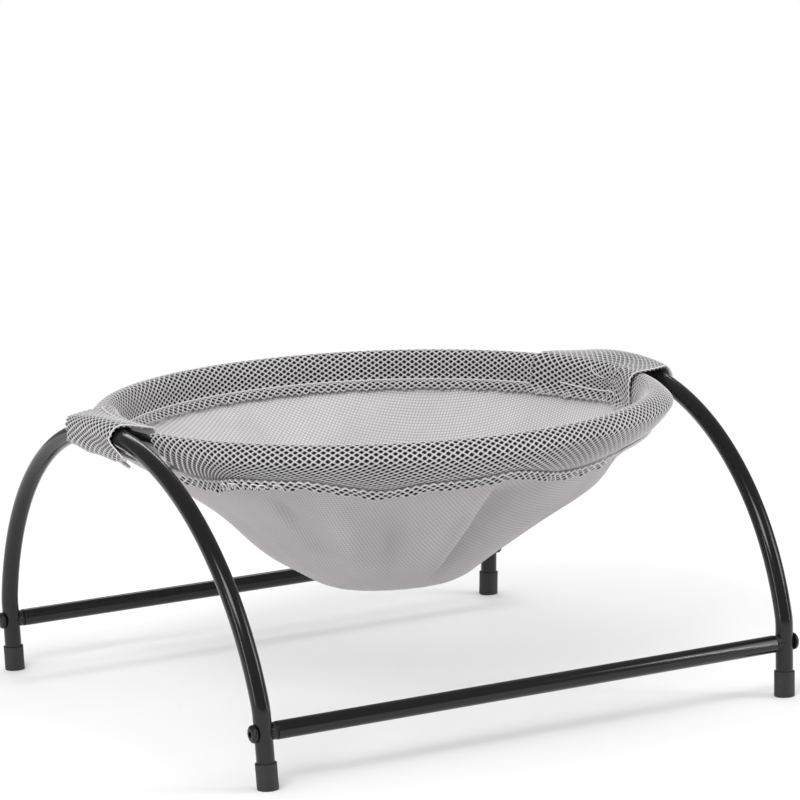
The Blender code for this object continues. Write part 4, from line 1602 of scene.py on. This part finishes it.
@dataclass
class ArchSleeve(Wrap):
    """A panel of open mesh that folds from the bowl over an arch and hangs outside it.

    Attributes:
        tubes: The frame it folds over.
        side: -1 for left, 1 for right.
        knots: The points of its middle line that the edges are set at.
        front_edge: Y of its front cut edge at the knots.
        back_edge: Y of its back cut edge at the knots.
        back_y: Y where it has lifted off the arch by the whole lift.
        skirt_ease: How much shorter its skirt is at the front, as a share.
        skirt_draw: The same at the back.
        tuck: How far under the tube its skirt's edge stays, as a share of the tube.
        inset: How far inside the channel its inner panel is.
        hem_drop: How far its inner hem hangs.
        lift: How far it lifts off the arch at the back.
        skirt: How far it hangs outside the arch.
        swell: How far it swells out there.
        joiner_wall: How far the arch's joiner stands out of the tube.
        ease_share: How loosely it goes round the arch.
        shoulder: How far the channel's side stands from the rod's middle.
        bearings: Where it touches the tube, in degrees from outwards.
        pucker: The Y and Z that the strands draw in to, if there is such a place.
        pucker_pull: How far they do, as a share of the way.
        pucker_depth: How deep that place is.
        pucker_reach: How far from it strands are drawn.
        pucker_stretch: How much further they are on its back side.
        pucker_rays: How many folds run out of it.
        ray_share: How deep they are, as a share of the pucker.
        puff: The puff beside it: its distance, and its half length and width.
        rounded: How much of its lower front corner is cut off.
        spans: Its flat length and width.
    """

    tubes: TubeFrame | None = None
    side: int = 1
    knots: tuple[int, ...] = (0, 6, 8, 10, 11, 13)
    front_edge: tuple[float, ...] = (-0.060, -0.056, -0.047, -0.0480, -0.0485, -0.050)
    back_edge: tuple[float, ...] = (0.079, 0.073, 0.079, 0.0765, 0.075, 0.070)
    back_y: float = 0.079
    skirt_ease: float = 0.0
    skirt_draw: float = 0.0
    tuck: float = 0.25
    inset: float = 0.0040
    hem_drop: float = 0.0062
    lift: float = 0.0050
    skirt: float = 0.0110
    swell: float = 0.0012
    joiner_wall: float = 0.0009
    ease_share: float = 1.06
    shoulder: float = 0.0078
    bearings: tuple[float, ...] = (92.0, 62.0, 30.0, -4.0)
    pucker: tuple[float, float] | None = None
    pucker_pull: float = 0.72
    pucker_depth: float = 0.0030
    pucker_reach: float = 0.0170
    pucker_stretch: float = 1.7
    pucker_rays: float = 7.0
    ray_share: float = 0.45
    puff: tuple[float, float, float] = (0.019, 0.013, 0.009)
    rounded: float = 0.0
    spans: tuple[float, float] = field(init=False)

    def __post_init__(self) -> None:
        """Tabulates the sleeve's middle from its back edge to its front one."""
        shares = np.linspace(0.0, 1.0, 90)
        lines = []
        for k in range(self.knots[-1] + 1):
            front = np.interp(k, self.knots, self.front_edge)
            back = np.interp(k, self.knots, self.back_edge)
            reach = lerp(back, front, shares)
            x, z = self.section(reach)[k]
            lines.append(np.stack([self.side * x, reach, z], axis=1))
        fine = spline(np.stack(lines, axis=1), 12)
        steps = np.linalg.norm(np.diff(fine, axis=1), axis=2)
        found = []
        for section, step in zip(fine, steps):
            along = np.concatenate([[0.0], np.cumsum(step)])
            found.append(read(np.linspace(0.0, along[-1], 220), along, section))
        values = np.array(found)
        if self.side < 0:
            values = values[::-1]
        self.table = Table(values)
        middle = values[:, values.shape[1] // 2]
        length = np.linalg.norm(np.diff(middle, axis=0), axis=1).sum()
        self.spans = (float(length), float(steps.sum(axis=1).mean()))

    def section(self, reach: np.ndarray) -> list[tuple[np.ndarray, np.ndarray]]:
        """Finds the middle line's points from the inner hem to the outer skirt.

        Args:
            reach: Y, at any number of places.

        Returns:
            The points as (X, Z).
        """
        half = self.thickness / 2.0
        inner_radius = self.hoop.radius - self.shoulder - self.inset
        panel = np.sqrt(np.maximum(inner_radius**2 - reach**2, 0.0))
        top = self.hoop.height + self.hoop.rod + 2.0 * self.gap + self.thickness * 1.5 + half * 0.3
        axis_z = self.tubes.arch_height(reach)
        axis_x = self.tubes.arch_x(axis_z)
        hug = (self.tubes.radius + 2.0 * self.gap + self.joiner_wall + half) * self.ease_share
        lift = self.lift * (reach / self.back_y) ** 2
        seam = self.bowl.edge_height + self.hem_drop * 0.45
        shoulder = panel + half * 9.5
        level = 0.0 * reach
        points = [
            (panel - self.hem_drop * 0.90, seam - self.hem_drop + level),
            (panel, seam + level),
            (panel + half * 0.4, lerp(seam, top, 0.40) + level),
            (panel + half * 1.2, lerp(seam, top, 0.75) + level),
            (panel + half * 4.5, top - half * 1.2 + level),
            (shoulder, top + level),
            (lerp(shoulder, axis_x, 0.5), lerp(top, axis_z + hug + lift, 0.5) + half * 0.5),
        ]
        for bearing in self.bearings:
            turn = math.radians(bearing)
            up = hug * math.sin(turn) + lift * max(math.sin(turn), 0.0)
            points.append((axis_x + hug * math.cos(turn), axis_z + up))
        drawn = self.skirt_draw * smooth((reach - 0.015) / 0.040)
        eased = self.skirt_ease * smooth((-reach - 0.020) / 0.030)
        skirt = self.skirt * (1.0 - (drawn + eased))
        points.append((axis_x + hug + self.swell, axis_z - skirt * 0.65))
        points.append((axis_x + hug * lerp(self.tuck, 1.0, 0.8), axis_z - skirt * 1.05))
        points.append((axis_x + hug * self.tuck, axis_z - skirt * 1.20))
        return points

    def size(self) -> tuple[float, float]:
        """Returns the flat mesh's length and width."""
        return self.spans

    def kept(self, x: float, y: float) -> bool:
        """Says whether the flat mesh's diamond at this place is inside the rounded front corner."""
        return x + max(self.size()[1] - y, 0.0) > self.rounded

    def nearest(self, y: float, z: float) -> tuple[float, float]:
        """Finds a point of the inner panel.

        Args:
            y: Its Y.
            z: Its Z.

        Returns:
            Its shares along and across the mesh.
        """
        rows, columns = self.table.values.shape[:2]
        panel = self.table.values[:, : columns * 2 // 5]
        i, j = np.unravel_index(np.argmin(np.hypot(panel[..., 1] - y, panel[..., 2] - z)), panel.shape[:2])
        return i / (rows - 1), j / (columns - 1)

    def form(self, x: np.ndarray, y: np.ndarray) -> np.ndarray:
        """Lays points of the flat mesh over the arch.

        Args:
            x: The flat X.
            y: The flat Y.

        Returns:
            Their places on the sleeve's middle.
        """
        length, width = self.size()
        dip = 0.0
        if self.pucker:
            along, across = self.nearest(*self.pucker)
            away_x = along * length - x
            away_y = across * width - y
            drawn = np.where(away_x > 0.0, away_x / self.pucker_stretch, away_x)
            near = bell(np.hypot(drawn, away_y), 0.0, self.pucker_reach)
            x = x + away_x * near * self.pucker_pull
            y = y + away_y * near * self.pucker_pull
            ray = 0.5 + 0.5 * np.cos(self.pucker_rays * np.arctan2(away_y, away_x))
            wide = bell(np.hypot(away_x, away_y), self.pucker_reach, self.pucker_reach * 0.8)
            puff_at, puff_long, puff_wide = self.puff
            puffed = bell(np.hypot((away_x - puff_at) / puff_long, away_y / puff_wide), 0.0, 1.0)
            dip = self.pucker_depth * (near + self.ray_share * wide * ray - puffed)
        spot = self.table.at(x / length, y / width)
        spot[:, 0] += self.side * dip
        return spot


class Studio:
    """A pale floor, soft lamps and the camera.

    Attributes:
        camera_at: Where the camera stands.
        yaw: How far it is turned from +Y, in radians.
        pitch: How far it looks down.
        roll: How far it leans.
        lens: Its focal length in millimetres.
        sensor: Its sensor's width in millimetres.
        shift_x: How far its picture is shifted sideways.
        aim: Where the lamps point.
        lamps: Each lamp's name, place, size and watts.
        glow: How strongly the room lights, and how strongly it mirrors and shows.
    """

    camera_at = Vector((-1.3847, -2.5604, 0.7217))
    yaw = 0.5018
    pitch = 0.1718
    roll = -0.0366
    lens = 177.25
    sensor = 36.0
    shift_x = -0.0021
    aim = Vector((0.0, 0.0, 0.12))
    lamps = (
        ("key", Vector((-1.9, -1.6, 2.4)), (1.4, 1.0), 34.0),
        ("fill", Vector((2.2, -1.5, 1.4)), (1.2, 1.2), 14.0),
        ("rim", Vector((0.6, 1.9, 1.7)), (1.8, 0.5), 12.0),
        ("left strip", Vector((-2.6, -0.5, 0.6)), (0.30, 1.4), 9.0),
        ("right strip", Vector((1.9, -1.7, 0.8)), (0.05, 1.6), 8.0),
    )
    glow = (0.78, 0.30, 1.0)

    def camera(self) -> None:
        """Sets the camera at the photograph's place and angle."""
        data = bpy.data.cameras.new("view")
        data.lens = self.lens
        data.sensor_width = self.sensor
        data.shift_x = self.shift_x
        data.clip_start = 0.05
        data.clip_end = 50.0
        camera = linked("view", data)
        level = math.cos(self.pitch)
        ahead = Vector((math.sin(self.yaw) * level, math.cos(self.yaw) * level, -math.sin(self.pitch)))
        right = Vector((math.cos(self.yaw), -math.sin(self.yaw), 0.0))
        up = right.cross(ahead)
        across = right * math.cos(self.roll) + up * math.sin(self.roll)
        upright = up * math.cos(self.roll) - right * math.sin(self.roll)
        turn = Matrix((across, upright, -ahead)).transposed()
        camera.matrix_world = Matrix.Translation(self.camera_at) @ turn.to_4x4()
        bpy.context.scene.camera = camera

    def lamp(self, name: str, place: Vector, size: tuple[float, float], watts: float) -> None:
        """Hangs one soft box that faces the bed.

        Args:
            name: Its name.
            place: Where it hangs.
            size: Its width and height.
            watts: Its strength.
        """
        data = bpy.data.lights.new(name, "AREA")
        data.shape = "RECTANGLE"
        data.size, data.size_y = size
        data.energy = watts
        lamp = linked(name, data)
        lamp.rotation_euler = (self.aim - place).to_track_quat("-Z", "Y").to_euler()
        lamp.location = place

    def floor(self) -> None:
        """Lays the pale floor."""
        work = bmesh.new()
        bmesh.ops.create_grid(work, x_segments=1, y_segments=1, size=12.0)
        mesh = bpy.data.meshes.new("floor")
        work.to_mesh(mesh)
        work.free()
        floor = linked("floor", mesh)
        material = bpy.data.materials.new("floor")
        material.use_nodes = True
        graph = Graph(material.node_tree)
        paint = {"Base Color": (0.98, 0.98, 0.98), "Roughness": 0.9, "Specular IOR Level": 0.1}
        matt = graph.add("ShaderNodeBsdfPrincipled", {}, paint)
        away = graph.add("ShaderNodeVectorMath", {"operation": "LENGTH"}, {0: graph.place()}, "Value")
        white = graph.add("ShaderNodeEmission", {}, {"Color": WHITE, "Strength": 1.0})
        fade = graph.add("ShaderNodeMixShader", {}, {0: away.over(0.36, 1.0), 1: matt, 2: white})
        graph.add("ShaderNodeOutputMaterial", {}, {"Surface": fade})
        mesh.materials.append(material)

    def world(self) -> None:
        """Lights the room evenly, shows it dimmer in reflections, and shows white to the camera and to rays
        through glass.
        """
        world = bpy.data.worlds.new("room")
        bpy.context.scene.world = world
        world.use_nodes = True
        graph = Graph(world.node_tree)
        light, dim, shown = (
            graph.add("ShaderNodeBackground", {}, {"Color": WHITE, "Strength": strength})
            for strength in self.glow
        )
        glossy, camera, through = (
            graph.add("ShaderNodeLightPath", output=f"Is {ray} Ray")
            for ray in ("Glossy", "Camera", "Transmission")
        )
        lit = graph.add("ShaderNodeMixShader", {}, {0: glossy, 1: light, 2: dim})
        both = graph.add("ShaderNodeMixShader", {}, {0: camera.math("MAXIMUM", through), 1: lit, 2: shown})
        graph.add("ShaderNodeOutputWorld", {}, {"Surface": both})

    def build(self) -> None:
        """Sets up the whole studio."""
        self.camera()
        self.floor()
        self.world()
        for name, place, size, watts in self.lamps:
            self.lamp(name, place, size, watts)
        bpy.context.scene.view_settings.view_transform = "Standard"


def main() -> None:
    """Builds the bed and its studio."""
    logging.basicConfig(level=logging.INFO, format="%(message)s")
    Studio().build()
    tubes = TubeFrame()
    tubes.build()
    hoop = Hoop()
    hoop.build()
    bowl = Bowl(hoop)
    bowl.build()
    halves = ("hoop_front_finished", "hoop_back_finished")
    front = Band(
        "rim_band_front", hoop, bowl, start=190.0, stop=351.5, slant=9.0, bulge_at=328.0, hem_points=FRONT_HEM
    )
    front.knit(halves, "stretched")
    back = Band(
        "rim_band_back", hoop, bowl, start=9.5, stop=170.5, bulge_at=163.0, bulge=0.0050, crush=0.0,
        creeps=((60.0, 30.0, 0.3),),
    )
    back.knit(halves, "stretched")
    coarse = Net(half_x=0.0031, half_y=0.0026, hole_shares=(0.50, 0.52))
    outer = {}
    for name, band in (("front", front), ("back", back)):
        outer[name] = Tape(f"hem_tape_{name}", hoop, bowl, net=coarse, band=band)
        outer[name].knit((f"rim_band_{name}_mesh",), "stretched")
        inner = Tape(f"inner_tape_{name}", hoop, bowl, net=coarse, band=band, inner=True)
        inner.knit((f"rim_band_{name}_mesh",), "stretched")
        edge = [(share, 0.10) for share in np.linspace(0.004, 0.996, 40)]
        inner.thread(f"inner_yarn_{name}", edge, 0.0005)
    for i in range(7):
        at = 0.100 + 0.0135 * i + 0.004 * math.sin(i * 2.3)
        tip = (at + 0.004, 0.86 - 0.07 * (i % 3))
        loop = ((at, 0.30), tip, (at + 0.011, 0.74), (at + 0.013, 0.25 + 0.1 * (i % 2)))
        outer["front"].thread(f"hem_loop_{i}", loop, 0.00048, 0.0012)
    left = ArchSleeve(
        "arch_sleeve_left", hoop, bowl, net=Net(half_x=0.0042, half_y=0.0023), tubes=tubes, side=-1,
        front_edge=(-0.024, -0.024, -0.0225, -0.0225, -0.044, -0.051),
        back_edge=(0.079, 0.076, 0.064, 0.0525, 0.052, 0.042),
        skirt=0.0118, skirt_ease=0.45, skirt_draw=0.50, tuck=0.75, rounded=0.0040,
    )
    left.knit(("arch_left_front_finished", "arch_left_back_finished"), "draped")
    right = ArchSleeve("arch_sleeve_right", hoop, bowl, tubes=tubes, pucker=(-0.017, 0.211))
    right.knit(("arch_right_front_finished", "arch_right_back_finished"), "draped")
    seam = ((0.22, 0.13), (0.36, 0.115), (0.50, 0.10), (0.64, 0.085), (0.76, 0.07))
    right.thread("seam_yarn_right", seam, 0.00055)
    loose = ((0.44, 0.33), (0.47, 0.29), (0.52, 0.27), (0.57, 0.265))
    right.thread("loose_yarn_right", loose, 0.00035, 0.0012)
    ridge = ((0.02, 0.43), (0.25, 0.43), (0.50, 0.42), (0.75, 0.40), (0.97, 0.39))
    left.thread("ridge_yarn_left", ridge, 0.00045)
    for sleeve, name, share, last in ((left, "left", 0.006, 0.93), (right, "right", 0.994, 0.95)):
        mouth = [(share, across) for across in np.linspace(0.10, last, 40)]
        sleeve.thread(f"mouth_yarn_{name}", mouth, 0.0005, 0.0, 0.0007)


if __name__ == "__main__":
    main()
